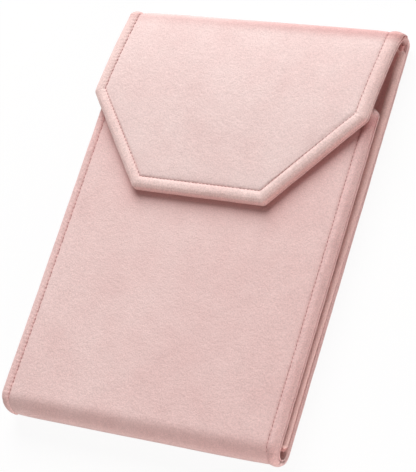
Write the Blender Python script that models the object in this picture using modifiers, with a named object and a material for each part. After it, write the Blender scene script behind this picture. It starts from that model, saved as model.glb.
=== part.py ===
"""Velvet jewelry travel folder, closed and lying on its back cover.

A back cover, a bottom spine and a front cover fold into a flat pocket, and a six-sided flap on a top
spine comes down over the front cover's free edge. Each cover is a board with foam, an outer skin and a
lining, and a binding wraps its edges. A padded panel, a chain pocket, a perforated earring leaf and a
ring bar lie inside. X runs across the width, Y from the bottom spine to the top spine, Z out of the
front cover. The origin is at the middle of the underside. Metres.
"""

import math

import bmesh
import bpy
from mathutils import Matrix, Vector

# Overall size
WIDTH = 0.150
LENGTH = 0.2126

# Layers of the covers
SKIN = 0.0010
LINING = 0.0008
LAYER_GAP = 0.00015
BACK_BOARD = 0.0016
FRONT_BOARD = 0.0015
FRONT_FOAM = 0.0014
FLAP_BOARD = 0.0012
FLAP_FOAM = 0.0006

# Binding round the edges of the covers
COVER_BINDING_WIDTH = 0.0050
FLAP_BINDING_WIDTH = 0.0060
BINDING_FOLD = 0.0021
SEAM_GAP = 0.0003
COVER_CORNER_RADIUS = 0.0042
FLAP_CORNER_RADIUS = 0.0030
BINDING_ARC_STEPS = 6
CORNER_ARC_STEPS = 4

# Front cover and flap
BAY_LENGTH = 0.0423
FLAP_REACH = 0.0966
FLAP_SHOULDER_REACH = 0.0495
FLAP_TIP_WIDTH = 0.0716
FLAP_RISE = 0.0064
FLAP_RISE_LENGTH = 0.060
FLAP_RISE_STEPS = 8

# Spines, each a padded strip with round edges and a hollow on its inner side
BOTTOM_SPINE_DEPTH = 0.0068
TOP_SPINE_DEPTH = 0.0044
TOP_SPINE_HEIGHT = 0.0140
SPINE_SKIN_END_DEG = 25
BOTTOM_HOLLOW_WALL = 0.0036
TOP_HOLLOW_WALL = 0.0024
HOLLOW_MARGIN = 0.0008
SPINE_LINING = 0.0006
SPINE_CAP_ROUND = 0.0012
NOSE_ARC_STEPS = 12
FOLD_GAP = 0.0003

# Padded panel on the back cover's inner side
PAD_THICKNESS = 0.0023
PAD_SIDE_MARGIN = 0.0005
PAD_ROUND = 0.0008
SEAT_GAP = 0.0003

# Chain pocket on the panel
POCKET_THICKNESS = 0.0005
POCKET_SIDE_MARGIN = 0.0060
POCKET_START = 0.0160
POCKET_LENGTH = 0.0620
POCKET_HEM_WIDTH = 0.0050
POCKET_CORNER_RADIUS = 0.0030

# Earring leaf, which turns at its bottom edge
LEAF_THICKNESS = 0.0013
LEAF_SIDE_MARGIN = 0.0035
LEAF_START = 0.0130
LEAF_END_MARGIN = 0.0063
LEAF_BINDING_WIDTH = 0.0035
LEAF_CORNER_RADIUS = 0.0050
LEAF_TAPE_WIDTH = 0.0042
LEAF_TAPE_THICKNESS = 0.0006
EARRING_HOLE_RADIUS = 0.0010
EARRING_HOLE_SIDES = 8
EARRING_PAIR_SPACING = 0.0100
EARRING_COLUMN_PITCH = 0.0230
EARRING_ROW_PITCH = 0.0200
EARRING_COLUMNS = 5
EARRING_ROWS = 6

# Slip pocket on the front cover's lining
SLIP_POCKET_THICKNESS = 0.0004
SLIP_POCKET_SIDE_MARGIN = 0.0120
SLIP_POCKET_START = 0.0200
SLIP_POCKET_LENGTH = 0.0900

# Ring bar in the bay under the flap
RING_BAR_RADIUS = 0.0030
RING_BAR_DISTANCE = 0.0266
RING_BAR_LEFT_MARGIN = 0.0170
RING_BAR_RIGHT_MARGIN = 0.0250
RING_ANCHOR_LENGTH = 0.0070
RING_ANCHOR_WIDTH = 0.0060
RING_ANCHOR_OVER = 0.0010
RING_TAB_LENGTH = 0.0120
RING_TAB_WIDTH = 0.0080
RING_TAB_THICKNESS = 0.0008
RING_TAB_ROUND = 0.0025
RING_ARC_STEPS = 8

# Press snaps: the large one closes the flap, the small one holds the ring bar
SNAP_TIP_DISTANCE = 0.0170
SNAP_RADIUS = 0.0050
SNAP_FLANGE = 0.0004
SNAP_KNOB_RADIUS = 0.0019
SNAP_CLEARANCE = 0.0005
SMALL_SNAP_RADIUS = 0.0035
SMALL_SNAP_FLANGE = 0.0006
SMALL_SNAP_KNOB_RADIUS = 0.0013
SMALL_SNAP_KNOB_HEIGHT = 0.0008
SMALL_SNAP_SOCKET_HEIGHT = 0.0011
SMALL_SNAP_END_MARGIN = 0.0040
TURNED_STEPS = 24

# Levels and places worked out from the sizes above
BACK_THICKNESS = SKIN + LAYER_GAP + BACK_BOARD + LAYER_GAP + LINING
FRONT_THICKNESS = SKIN + LAYER_GAP + FRONT_FOAM + LAYER_GAP + FRONT_BOARD + LAYER_GAP + LINING
FLAP_THICKNESS = SKIN + LAYER_GAP + FLAP_FOAM + LAYER_GAP + FLAP_BOARD + LAYER_GAP + LINING
PAD_LOW = BACK_THICKNESS + SEAT_GAP
PAD_TOP = PAD_LOW + PAD_THICKNESS
POCKET_LOW = PAD_TOP + LAYER_GAP
LEAF_LOW = POCKET_LOW + POCKET_THICKNESS + SEAT_GAP
LEAF_TOP = LEAF_LOW + LEAF_THICKNESS
SLIP_POCKET_LOW = LEAF_TOP + SEAT_GAP
FRONT_LOW = SLIP_POCKET_LOW + SLIP_POCKET_THICKNESS + LAYER_GAP
FRONT_TOP = FRONT_LOW + FRONT_THICKNESS
BOTTOM_SPINE_HEIGHT = FRONT_TOP
BOTTOM_NOSE = BOTTOM_SPINE_DEPTH / 2
TOP_NOSE = TOP_SPINE_DEPTH / 2
FLAP_TOP = TOP_SPINE_HEIGHT
FLAP_LOW = FLAP_TOP - FLAP_THICKNESS
BOTTOM_Y = -LENGTH / 2
TOP_Y = LENGTH / 2
BACK_START_Y = BOTTOM_Y + BOTTOM_SPINE_DEPTH + FOLD_GAP
BACK_END_Y = TOP_Y - TOP_SPINE_DEPTH - FOLD_GAP
FRONT_END_Y = TOP_Y - BAY_LENGTH
FLAP_TIP_Y = TOP_Y - FLAP_REACH
SNAP_Y = FLAP_TIP_Y + SNAP_TIP_DISTANCE
RING_BAR_Y = TOP_Y - RING_BAR_DISTANCE
RING_BAR_LEFT = RING_BAR_LEFT_MARGIN - WIDTH / 2
RING_BAR_RIGHT = WIDTH / 2 - RING_BAR_RIGHT_MARGIN
RING_BAR_Z = PAD_TOP + SEAT_GAP + RING_BAR_RADIUS

# Fold axes, each a point that the axis passes through along X
BOTTOM_SPINE_AXIS = Vector((0, BOTTOM_Y + BOTTOM_NOSE, BOTTOM_NOSE))
FRONT_AXIS = Vector((0, BOTTOM_Y + BOTTOM_NOSE, BOTTOM_SPINE_HEIGHT - BOTTOM_NOSE))
TOP_SPINE_AXIS = Vector((0, TOP_Y - TOP_NOSE, TOP_NOSE))
FLAP_AXIS = Vector((0, TOP_Y - TOP_NOSE, TOP_SPINE_HEIGHT - TOP_NOSE))
LEAF_AXIS = Vector((0, BOTTOM_Y + LEAF_START, (LEAF_LOW + LEAF_TOP) / 2))
RING_BAR_AXIS = Vector((RING_BAR_LEFT + RING_BAR_RADIUS, RING_BAR_Y, RING_BAR_Z))

WELD_DISTANCE = 0.000001


def clear_scene():
    for obj in list(bpy.data.objects):
        bpy.data.objects.remove(obj)


def new_collection(name):
    collection = bpy.data.collections.new(name)
    bpy.context.scene.collection.children.link(collection)
    return collection


def make_material(name, color, roughness, metallic=0.0):
    material = bpy.data.materials.new(name)
    material.use_nodes = True
    shader = material.node_tree.nodes["Principled BSDF"]
    shader.inputs["Base Color"].default_value = (*color, 1.0)
    shader.inputs["Roughness"].default_value = roughness
    shader.inputs["Metallic"].default_value = metallic
    material.diffuse_color = (*color, 1.0)
    return material


def make_materials():
    return {
        "velvet": make_material("velvet", (0.76, 0.50, 0.47), 0.95),
        "binding": make_material("binding", (0.80, 0.54, 0.50), 0.95),
        "lining": make_material("lining", (0.66, 0.40, 0.39), 0.95),
        "pad": make_material("pad", (0.74, 0.48, 0.45), 0.95),
        "board": make_material("board", (0.42, 0.38, 0.33), 0.90),
        "foam": make_material("foam", (0.85, 0.82, 0.72), 0.95),
        "elastic": make_material("elastic", (0.70, 0.42, 0.42), 0.80),
        "snap": make_material("snap", (0.80, 0.62, 0.50), 0.30, 1.0),
    }


def link(obj, material, collection):
    collection.objects.link(obj)
    obj.data.materials.append(material)
    return obj


def mesh_object(name, bm, material, collection):
    """An object from a bmesh, welded and facing out."""
    bmesh.ops.remove_doubles(bm, verts=bm.verts, dist=WELD_DISTANCE)
    bmesh.ops.recalc_face_normals(bm, faces=bm.faces)
    mesh = bpy.data.meshes.new(name)
    bm.to_mesh(mesh)
    bm.free()
    return link(bpy.data.objects.new(name, mesh), material, collection)


def meshed(curve, collection):
    """The same shape as a mesh object, with the curve's loose caps welded on."""
    bpy.context.view_layer.update()
    graph = bpy.context.evaluated_depsgraph_get()
    mesh = bpy.data.meshes.new_from_object(curve.evaluated_get(graph))
    bm = bmesh.new()
    bm.from_mesh(mesh)
    bm.transform(curve.matrix_world)
    name = curve.name
    material = curve.data.materials[0]
    bpy.data.objects.remove(curve)
    bpy.data.meshes.remove(mesh)
    return mesh_object(name, bm, material, collection)


# Outlines: lists of (x, y), anticlockwise


def rectangle(left, right, low, high):
    return [(left, high), (left, low), (right, low), (right, high)]


def crossing(first, second):
    """Where two lines meet, each a point and a direction."""
    (point, along), (other, across) = first, second
    share = (other - point).cross(across) / along.cross(across)
    return point + along * share


def inset_corners(corners, insets):
    """The outline's corners after each edge moves inwards by its own distance. Edge i starts at corner i."""
    lines = []
    for i, corner in enumerate(corners):
        start = Vector(corner)
        along = (Vector(corners[(i + 1) % len(corners)]) - start).normalized()
        inwards = Vector((-along.y, along.x))
        lines.append((start + inwards * insets[i], along))
    return [crossing(lines[i - 1], lines[i]) for i in range(len(corners))]


def corner_arc(before, corner, after, radius, steps):
    """Points round one corner, from its first edge to its second."""
    if not steps:
        return [corner]
    back = (before - corner).normalized()
    ahead = (after - corner).normalized()
    half_angle = back.angle(ahead) / 2
    centre = corner + (back + ahead).normalized() * (radius / math.sin(half_angle))
    start = corner + back * (radius / math.tan(half_angle))
    swing = math.pi - 2 * half_angle
    points = []
    for step in range(steps + 1):
        turn = Matrix.Rotation(swing * step / steps, 2)
        points.append(centre + turn @ (start - centre))
    return points


def ring(corners, radii, insets):
    """The outline moved inwards, with round corners that keep their centres until they are used up."""
    moved = inset_corners(corners, insets)
    points = []
    for i, radius in enumerate(radii):
        left = max(radius - insets[i], 0)
        steps = CORNER_ARC_STEPS if radius else 0
        points += corner_arc(moved[i - 1], moved[i], moved[(i + 1) % len(moved)], left, steps)
    return points


def rounded(corners, radii):
    return ring(corners, radii, [0] * len(corners))


def without_repeats(points):
    """The outline's points, once each where a corner has come to a single point."""
    return [
        point
        for before, point in zip(points[-1:] + points[:-1], points)
        if (Vector(point) - Vector(before)).length > WELD_DISTANCE
    ]


def circle(centre_x, centre_y, radius, sides):
    """A hole's outline, clockwise."""
    angles = [-math.tau * side / sides for side in range(sides)]
    return [(centre_x + radius * math.cos(a), centre_y + radius * math.sin(a)) for a in angles]


# Solids


def outline_curve(name, outlines, thickness, material, collection):
    """A flat curve, filled and extruded to the thickness about its own plane. Inner outlines are holes."""
    data = bpy.data.curves.new(name, "CURVE")
    data.dimensions = "2D"
    data.fill_mode = "BOTH"
    data.extrude = thickness / 2
    for outline in map(without_repeats, outlines):
        spline = data.splines.new("POLY")
        spline.points.add(len(outline) - 1)
        for point, place in zip(spline.points, outline):
            point.co = (place[0], place[1], 0, 1)
        spline.use_cyclic_u = True
    return link(bpy.data.objects.new(name, data), material, collection)


def plate(name, outlines, low, thickness, material, collection):
    """A flat plate whose underside is at the height low."""
    obj = outline_curve(name, outlines, thickness, material, collection)
    obj.location.z = low + thickness / 2
    return obj


def bar(name, section, left, right, material, collection):
    """A section in (y, z), extruded across the width from left to right."""
    obj = outline_curve(name, [section], right - left, material, collection)
    obj.rotation_euler = (math.pi / 2, 0, math.pi / 2)
    obj.location.x = (left + right) / 2
    return obj


def edge_frame(name, corners, radii, section, closed, material, collection):
    """A section of (inset, height) points, led round the outline. An open frame leaves out the last edge."""
    bm = bmesh.new()
    rows = []
    for inset, height in section:
        insets = [inset] * len(corners)
        if not closed:
            insets[-1] = 0
        rows.append([bm.verts.new((x, y, height)) for x, y in ring(corners, radii, insets)])
    stations = len(rows[0])
    for k, row in enumerate(rows):
        other = rows[(k + 1) % len(rows)]
        for i in range(stations if closed else stations - 1):
            j = (i + 1) % stations
            bm.faces.new((row[i], row[j], other[j], other[i]))
    if not closed:
        bm.faces.new([row[0] for row in rows])
        bm.faces.new([row[-1] for row in reversed(rows)])
    return mesh_object(name, bm, material, collection)


def binding_section(width, low, thickness, outer_wall, inner_wall):
    """A folded strip: round on its outer side, with a slot for the board between its two walls."""
    radius = thickness / 2
    points = []
    for step in range(BINDING_ARC_STEPS + 1):
        angle = math.pi / 2 + math.pi * step / BINDING_ARC_STEPS
        points.append((radius + radius * math.cos(angle), low + radius + radius * math.sin(angle)))
    points.append((width, low))
    points.append((width, low + inner_wall))
    points.append((BINDING_FOLD, low + inner_wall))
    points.append((BINDING_FOLD, low + thickness - outer_wall))
    points.append((width, low + thickness - outer_wall))
    points.append((width, low + thickness))
    return points


def turned(name, profile, place, material, collection):
    """A solid of revolution about Z. The profile is (radius, height), down the outer side from the axis."""
    mesh = bpy.data.meshes.new(name)
    points = [(radius, 0, height) for radius, height in profile]
    mesh.from_pydata(points, [(i, i + 1) for i in range(len(points) - 1)], [])
    obj = link(bpy.data.objects.new(name, mesh), material, collection)
    obj.location = place
    screw = obj.modifiers.new("turn", "SCREW")
    screw.steps = TURNED_STEPS
    screw.render_steps = TURNED_STEPS
    screw.use_merge_vertices = True
    screw.merge_threshold = WELD_DISTANCE
    screw.use_smooth_shade = True
    return obj


def soften(obj, width, segments=2):
    """Rounds a plate's edges, after welding its caps on."""
    weld = obj.modifiers.new("weld", "WELD")
    weld.merge_threshold = WELD_DISTANCE
    bevel = obj.modifiers.new("round", "BEVEL")
    bevel.width = width
    bevel.segments = segments
    bevel.limit_method = "ANGLE"
    return obj


# Flap's bow: it climbs from the top spine and then lies level


def flap_rise(y):
    run = min(max(BACK_END_Y - y, 0), FLAP_RISE_LENGTH)
    left_share = 1 - run / FLAP_RISE_LENGTH
    return FLAP_RISE * (1 - left_share**2)


def bow(obj):
    """Cuts the flat piece across in strips and lifts them along the flap's bow."""
    bm = bmesh.new()
    bm.from_mesh(obj.data)
    for step in range(1, FLAP_RISE_STEPS + 1):
        y = BACK_END_Y - FLAP_RISE_LENGTH * step / FLAP_RISE_STEPS
        geometry = bm.verts[:] + bm.edges[:] + bm.faces[:]
        bmesh.ops.bisect_plane(
            bm, geom=geometry, dist=WELD_DISTANCE, plane_co=(0, y, 0), plane_no=(0, 1, 0)
        )
    bmesh.ops.triangulate(bm, faces=bm.faces)
    for vert in bm.verts:
        vert.co.z += flap_rise(vert.co.y)
    bm.to_mesh(obj.data)
    bm.free()
    return obj


# Spine sections, in (distance from the outside, height)


def nose_arc(centre, radius, first_deg, last_deg):
    points = []
    for step in range(NOSE_ARC_STEPS + 1):
        angle = math.radians(first_deg + (last_deg - first_deg) * step / NOSE_ARC_STEPS)
        points.append((centre[0] + radius * math.cos(angle), centre[1] + radius * math.sin(angle)))
    return points


def spine_path(nose, height, inset, start_deg):
    """Round the lower nose, up the outside and round the upper nose."""
    low = nose_arc((nose, nose), nose - inset, -start_deg, -180)
    high = nose_arc((nose, height - nose), nose - inset, 180, start_deg)
    return low + high


def spine_skin_section(nose, height):
    outside = spine_path(nose, height, 0, SPINE_SKIN_END_DEG)
    inside = spine_path(nose, height, SKIN, SPINE_SKIN_END_DEG)
    return outside + inside[::-1]


def spine_body_section(nose, height, inset, wall):
    """A strip with round edges, and the hollow cut into its inner side."""
    low, high = hollow_levels(nose, height)
    depth = 2 * nose - inset
    points = spine_path(nose, height, inset, 0)
    return points + [(depth, high), (wall, high), (wall, low), (depth, low)]


def hollow_levels(nose, height):
    return nose + HOLLOW_MARGIN, height - nose - HOLLOW_MARGIN


def spine_lining_section(nose, height, wall):
    """A channel that lines the hollow."""
    low, high = hollow_levels(nose, height)
    low += LAYER_GAP
    high -= LAYER_GAP
    start = wall + LAYER_GAP
    depth = 2 * nose - SKIN - LAYER_GAP
    return [
        (depth, low),
        (depth, low + SPINE_LINING),
        (start + SPINE_LINING, low + SPINE_LINING),
        (start + SPINE_LINING, high - SPINE_LINING),
        (depth, high - SPINE_LINING),
        (depth, high),
        (start, high),
        (start, low),
    ]


def bottom_place(section):
    return [(BOTTOM_Y + distance, height) for distance, height in section]


def top_place(section):
    return [(TOP_Y - distance, height) for distance, height in section]


def spine_cap(name, section, side, material, collection):
    """The binding's run across a spine's end, with a round outer edge."""
    outer = side * WIDTH / 2
    inner = side * (WIDTH / 2 - COVER_BINDING_WIDTH)
    low, high = sorted((outer, inner))
    obj = meshed(bar(name, section, low, high, material, collection), collection)
    bm = bmesh.new()
    bm.from_mesh(obj.data)
    edges = [
        edge
        for edge in bm.edges
        if all(abs(vert.co.x - outer) < WELD_DISTANCE for vert in edge.verts)
        and not all(abs(face.normal.x) > math.cos(SEAM_GAP) for face in edge.link_faces)
    ]
    bmesh.ops.bevel(
        bm, geom=edges, offset=SPINE_CAP_ROUND, offset_type="OFFSET", segments=2, profile=0.5,
        affect="EDGES", clamp_overlap=True,
    )
    bm.to_mesh(obj.data)
    bm.free()
    return obj


def make_spine(prefix, nose, height, wall, place, materials, collection):
    """Skin, core, lining and the two binding ends of one spine."""
    half = WIDTH / 2 - COVER_BINDING_WIDTH - SEAM_GAP
    core_inset = SKIN + LAYER_GAP
    skin = place(spine_skin_section(nose, height))
    core = place(spine_body_section(nose, height, core_inset, wall))
    lining = place(spine_lining_section(nose, height, wall))
    cap = place(spine_body_section(nose, height, 0, wall))
    pieces = [
        bar(prefix + "_skin", skin, -half, half, materials["velvet"], collection),
        bar(prefix + "_core", core, -half, half, materials["foam"], collection),
        bar(prefix + "_lining", lining, -half, half, materials["lining"], collection),
    ]
    for side, word in ((-1, "left"), (1, "right")):
        name = prefix + "_binding_" + word
        pieces.append(spine_cap(name, cap, side, materials["binding"], collection))
    return pieces


# Covers


def layer_outline(corners, radii, distance):
    """A layer's outline: inset on all edges but the last, which stays at the fold."""
    insets = [distance] * len(corners)
    insets[-1] = 0
    return [tuple(point) for point in ring(corners, radii, insets)]


def cover_layers(prefix, corners, radii, binding_width, low, layers, materials, collection):
    """A cover's layers from the inside out. Those named in the slot reach into the binding."""
    pieces = []
    level = low
    for word, thickness, slot, material in layers:
        distance = BINDING_FOLD + SEAM_GAP if slot else binding_width + SEAM_GAP
        outline = layer_outline(corners, radii, distance)
        name = prefix + "_" + word
        pieces.append(plate(name, [outline], level, thickness, materials[material], collection))
        level += thickness + LAYER_GAP
    return pieces


def make_back_cover(materials, collection):
    half = WIDTH / 2
    skin_half = half - COVER_BINDING_WIDTH - SEAM_GAP
    board_half = half - BINDING_FOLD - SEAM_GAP
    skin = rectangle(-skin_half, skin_half, BACK_START_Y, BACK_END_Y)
    board = rectangle(-board_half, board_half, BACK_START_Y, BACK_END_Y)
    board_low = SKIN + LAYER_GAP
    lining_low = board_low + BACK_BOARD + LAYER_GAP
    pieces = [
        plate("back_skin", [skin], 0, SKIN, materials["velvet"], collection),
        plate("back_board", [board], board_low, BACK_BOARD, materials["board"], collection),
        plate("back_lining", [skin], lining_low, LINING, materials["lining"], collection),
    ]
    section = binding_section(COVER_BINDING_WIDTH, 0, BACK_THICKNESS, LINING, SKIN)
    for side, word in ((-1, "left"), (1, "right")):
        points = [(side * (half - inset), height) for inset, height in section]
        pieces.append(side_strip("back_binding_" + word, points, materials["binding"], collection))
    return pieces


def side_strip(name, section, material, collection):
    """A section in (x, z), extruded along the back cover's length."""
    obj = outline_curve(name, [section], BACK_END_Y - BACK_START_Y, material, collection)
    obj.rotation_euler = (math.pi / 2, 0, 0)
    obj.location.y = (BACK_START_Y + BACK_END_Y) / 2
    return obj


def make_front_cover(materials, collection):
    half = WIDTH / 2
    corners = [
        (half, BACK_START_Y),
        (half, FRONT_END_Y),
        (-half, FRONT_END_Y),
        (-half, BACK_START_Y),
    ]
    radii = [0, COVER_CORNER_RADIUS, COVER_CORNER_RADIUS, 0]
    layers = [
        ("lining", LINING, False, "lining"),
        ("board", FRONT_BOARD, True, "board"),
        ("foam", FRONT_FOAM, True, "foam"),
        ("skin", SKIN, False, "velvet"),
    ]
    pieces = cover_layers(
        "front", corners, radii, COVER_BINDING_WIDTH, FRONT_LOW, layers, materials, collection
    )
    section = binding_section(COVER_BINDING_WIDTH, FRONT_LOW, FRONT_THICKNESS, SKIN, LINING)
    pieces.append(
        edge_frame("front_binding", corners, radii, section, False, materials["binding"], collection)
    )
    return pieces


def make_slip_pocket(materials, collection):
    half = WIDTH / 2 - SLIP_POCKET_SIDE_MARGIN
    low = BOTTOM_Y + SLIP_POCKET_START
    outline = rectangle(-half, half, low, low + SLIP_POCKET_LENGTH)
    thickness = SLIP_POCKET_THICKNESS
    material = materials["lining"]
    return [plate("front_slip_pocket", [outline], SLIP_POCKET_LOW, thickness, material, collection)]


def flap_corners():
    half = WIDTH / 2
    tip = FLAP_TIP_WIDTH / 2
    shoulder = TOP_Y - FLAP_SHOULDER_REACH
    return [
        (-half, BACK_END_Y),
        (-half, shoulder),
        (-tip, FLAP_TIP_Y),
        (tip, FLAP_TIP_Y),
        (half, shoulder),
        (half, BACK_END_Y),
    ]


def make_flap(materials, collection):
    corners = flap_corners()
    radii = [0] + [FLAP_CORNER_RADIUS] * 4 + [0]
    layers = [
        ("lining", LINING, False, "lining"),
        ("board", FLAP_BOARD, True, "board"),
        ("foam", FLAP_FOAM, True, "foam"),
        ("skin", SKIN, False, "velvet"),
    ]
    flat = cover_layers(
        "flap", corners, radii, FLAP_BINDING_WIDTH, FLAP_LOW, layers, materials, collection
    )
    pieces = [bow(meshed(piece, collection)) for piece in flat]
    section = binding_section(FLAP_BINDING_WIDTH, FLAP_LOW, FLAP_THICKNESS, SKIN, LINING)
    binding = edge_frame(
        "flap_binding", corners, radii, section, False, materials["binding"], collection
    )
    return pieces + [bow(binding)]


# Pieces inside


def make_inner_panel(materials, collection):
    """The padded panel that lies over the whole back cover."""
    half = WIDTH / 2 - PAD_SIDE_MARGIN
    outline = rectangle(-half, half, BACK_START_Y + FOLD_GAP, BACK_END_Y - FOLD_GAP)
    pad = plate("inner_panel", [outline], PAD_LOW, PAD_THICKNESS, materials["pad"], collection)
    return [soften(pad, PAD_ROUND)]


def make_chain_pocket(materials, collection):
    half = WIDTH / 2 - POCKET_SIDE_MARGIN
    low = BOTTOM_Y + POCKET_START
    high = low + POCKET_LENGTH
    radii = [0, POCKET_CORNER_RADIUS, POCKET_CORNER_RADIUS, 0]
    outline = rounded(rectangle(-half, half, low, high), radii)
    hem = rectangle(-half, half, high + SEAM_GAP, high + SEAM_GAP + POCKET_HEM_WIDTH)
    thickness = POCKET_THICKNESS
    return [
        plate("chain_pocket", [outline], POCKET_LOW, thickness, materials["lining"], collection),
        plate("chain_pocket_hem", [hem], POCKET_LOW, thickness, materials["elastic"], collection),
    ]


def earring_holes(centre_y):
    holes = []
    for column in range(EARRING_COLUMNS):
        x = (column - (EARRING_COLUMNS - 1) / 2) * EARRING_COLUMN_PITCH
        for row in range(EARRING_ROWS):
            y = centre_y + (row - (EARRING_ROWS - 1) / 2) * EARRING_ROW_PITCH
            for side in (-1, 1):
                place = x + side * EARRING_PAIR_SPACING / 2
                holes.append(circle(place, y, EARRING_HOLE_RADIUS, EARRING_HOLE_SIDES))
    return holes


def leaf_binding_section():
    """A slim strip, round on its outer side."""
    radius = LEAF_THICKNESS / 2
    points = []
    for step in range(BINDING_ARC_STEPS + 1):
        angle = math.pi / 2 + math.pi * step / BINDING_ARC_STEPS
        points.append((radius + radius * math.cos(angle), LEAF_LOW + radius + radius * math.sin(angle)))
    return points + [(LEAF_BINDING_WIDTH, LEAF_LOW), (LEAF_BINDING_WIDTH, LEAF_TOP)]


def make_leaf(materials, collection):
    """The perforated earring leaf, its binding and the tape that it turns on."""
    half = WIDTH / 2 - LEAF_SIDE_MARGIN
    low = BOTTOM_Y + LEAF_START
    high = FRONT_END_Y - LEAF_END_MARGIN
    corners = rectangle(-half, half, low, high)
    radii = [LEAF_CORNER_RADIUS] * 4
    inset = LEAF_BINDING_WIDTH + SEAM_GAP
    panel = [tuple(point) for point in ring(corners, radii, [inset] * 4)]
    outlines = [panel] + earring_holes((low + high) / 2)
    section = leaf_binding_section()
    return [
        plate("leaf_panel", outlines, LEAF_LOW, LEAF_THICKNESS, materials["velvet"], collection),
        edge_frame("leaf_binding", corners, radii, section, True, materials["binding"], collection),
    ]


def make_leaf_tape(materials, collection):
    """The sewn tape between the panel and the leaf's bottom edge."""
    half = WIDTH / 2 - LEAF_SIDE_MARGIN - LEAF_CORNER_RADIUS
    high = BOTTOM_Y + LEAF_START - SEAM_GAP
    outline = rectangle(-half, half, high - LEAF_TAPE_WIDTH, high)
    low = PAD_TOP + LAYER_GAP
    return [plate("leaf_tape", [outline], low, LEAF_TAPE_THICKNESS, materials["elastic"], collection)]


def ring_roll_profile(length):
    """Half a roll's outline with round ends, down its length, as (radius, height)."""
    radius = RING_BAR_RADIUS
    points = []
    for step in range(RING_ARC_STEPS + 1):
        angle = math.pi / 2 * (1 - step / RING_ARC_STEPS)
        points.append((radius * math.cos(angle), length - radius + radius * math.sin(angle)))
    for step in range(RING_ARC_STEPS + 1):
        angle = math.pi / 2 * step / RING_ARC_STEPS
        points.append((radius * math.cos(angle), radius - radius * math.sin(angle)))
    return close_on_axis(points)


def close_on_axis(points):
    """The profile with its two end points exactly on the axis."""
    return [(0, points[0][1])] + points[1:-1] + [(0, points[-1][1])]


def make_ring_bar(materials, collection):
    """The padded roll, and the tab with the snap socket at its free end."""
    profile = ring_roll_profile(RING_BAR_RIGHT - RING_BAR_LEFT)
    place = (RING_BAR_LEFT, RING_BAR_Y, RING_BAR_Z)
    roll = turned("ring_bar_roll", profile, place, materials["velvet"], collection)
    roll.rotation_euler = (0, math.pi / 2, 0)
    left = RING_BAR_RIGHT + SEAM_GAP
    right = left + RING_TAB_LENGTH
    half = RING_TAB_WIDTH / 2
    corners = rectangle(left, right, RING_BAR_Y - half, RING_BAR_Y + half)
    outline = rounded(corners, [0, 0, RING_TAB_ROUND, RING_TAB_ROUND])
    low = small_socket_low() + SMALL_SNAP_SOCKET_HEIGHT + LAYER_GAP
    thickness = RING_TAB_THICKNESS
    tab = plate("ring_bar_tab", [outline], low, thickness, materials["elastic"], collection)
    socket = turned(
        "ring_bar_socket",
        ring_profile(SMALL_SNAP_RADIUS, SMALL_SNAP_KNOB_RADIUS, SMALL_SNAP_SOCKET_HEIGHT),
        (small_snap_x(), RING_BAR_Y, small_socket_low()),
        materials["snap"],
        collection,
    )
    return [roll, tab, socket]


def small_snap_x():
    return RING_BAR_RIGHT + SEAM_GAP + RING_TAB_LENGTH - SMALL_SNAP_END_MARGIN


def small_stud_low():
    return PAD_TOP + SEAT_GAP


def small_socket_low():
    return small_stud_low() + SMALL_SNAP_FLANGE + SEAT_GAP


def ring_profile(radius, knob_radius, height):
    """A socket's section: a ring round the bore that takes the knob."""
    bore = knob_radius + SNAP_CLEARANCE
    return [(bore, 0), (bore, height), (radius, height), (radius, 0), (bore, 0)]


def knob_profile(radius, knob_radius, flange, knob_height):
    """A stud's section: a knob on a flange."""
    top = flange + knob_height
    return [
        (0, top),
        (knob_radius, top),
        (knob_radius, flange),
        (radius, flange),
        (radius, 0),
        (0, 0),
    ]


def make_ring_bar_seats(materials, collection):
    """The anchor at the bar's sewn end and the stud at its free end, both on the panel."""
    right = RING_BAR_LEFT - SEAM_GAP
    half = RING_ANCHOR_WIDTH / 2
    low = PAD_TOP + SEAT_GAP
    outline = rectangle(right - RING_ANCHOR_LENGTH, right, RING_BAR_Y - half, RING_BAR_Y + half)
    height = RING_BAR_Z + RING_ANCHOR_OVER - low
    anchor = plate("ring_bar_anchor", [outline], low, height, materials["elastic"], collection)
    profile = knob_profile(
        SMALL_SNAP_RADIUS, SMALL_SNAP_KNOB_RADIUS, SMALL_SNAP_FLANGE, SMALL_SNAP_KNOB_HEIGHT
    )
    place = (small_snap_x(), RING_BAR_Y, small_stud_low())
    stud = turned("ring_bar_stud", profile, place, materials["snap"], collection)
    return [soften(anchor, PAD_ROUND), stud]


def make_front_stud(materials, collection):
    low = FRONT_TOP + LAYER_GAP
    room = FLAP_LOW + FLAP_RISE - low
    knob_height = room - SNAP_FLANGE - SEAT_GAP
    profile = knob_profile(SNAP_RADIUS, SNAP_KNOB_RADIUS, SNAP_FLANGE, knob_height)
    return [turned("front_snap_stud", profile, (0, SNAP_Y, low), materials["snap"], collection)]


def make_flap_socket(materials, collection):
    low = FRONT_TOP + LAYER_GAP + SNAP_FLANGE + SEAT_GAP
    height = FLAP_LOW + FLAP_RISE - LAYER_GAP - low
    profile = ring_profile(SNAP_RADIUS, SNAP_KNOB_RADIUS, height)
    return [turned("flap_snap_socket", profile, (0, SNAP_Y, low), materials["snap"], collection)]


# Assembly


def fold(name, place, parent, pieces, collection):
    """An empty on a fold's axis, which carries the pieces that turn with it."""
    axis = bpy.data.objects.new(name, None)
    collection.objects.link(axis)
    axis.empty_display_size = BINDING_FOLD
    axis.location = place
    world = Matrix.Translation(place)
    if parent:
        axis.parent = parent[0]
        axis.matrix_parent_inverse = parent[1].inverted()
    for piece in pieces:
        piece.parent = axis
        piece.matrix_parent_inverse = world.inverted()
    return axis, world


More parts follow.
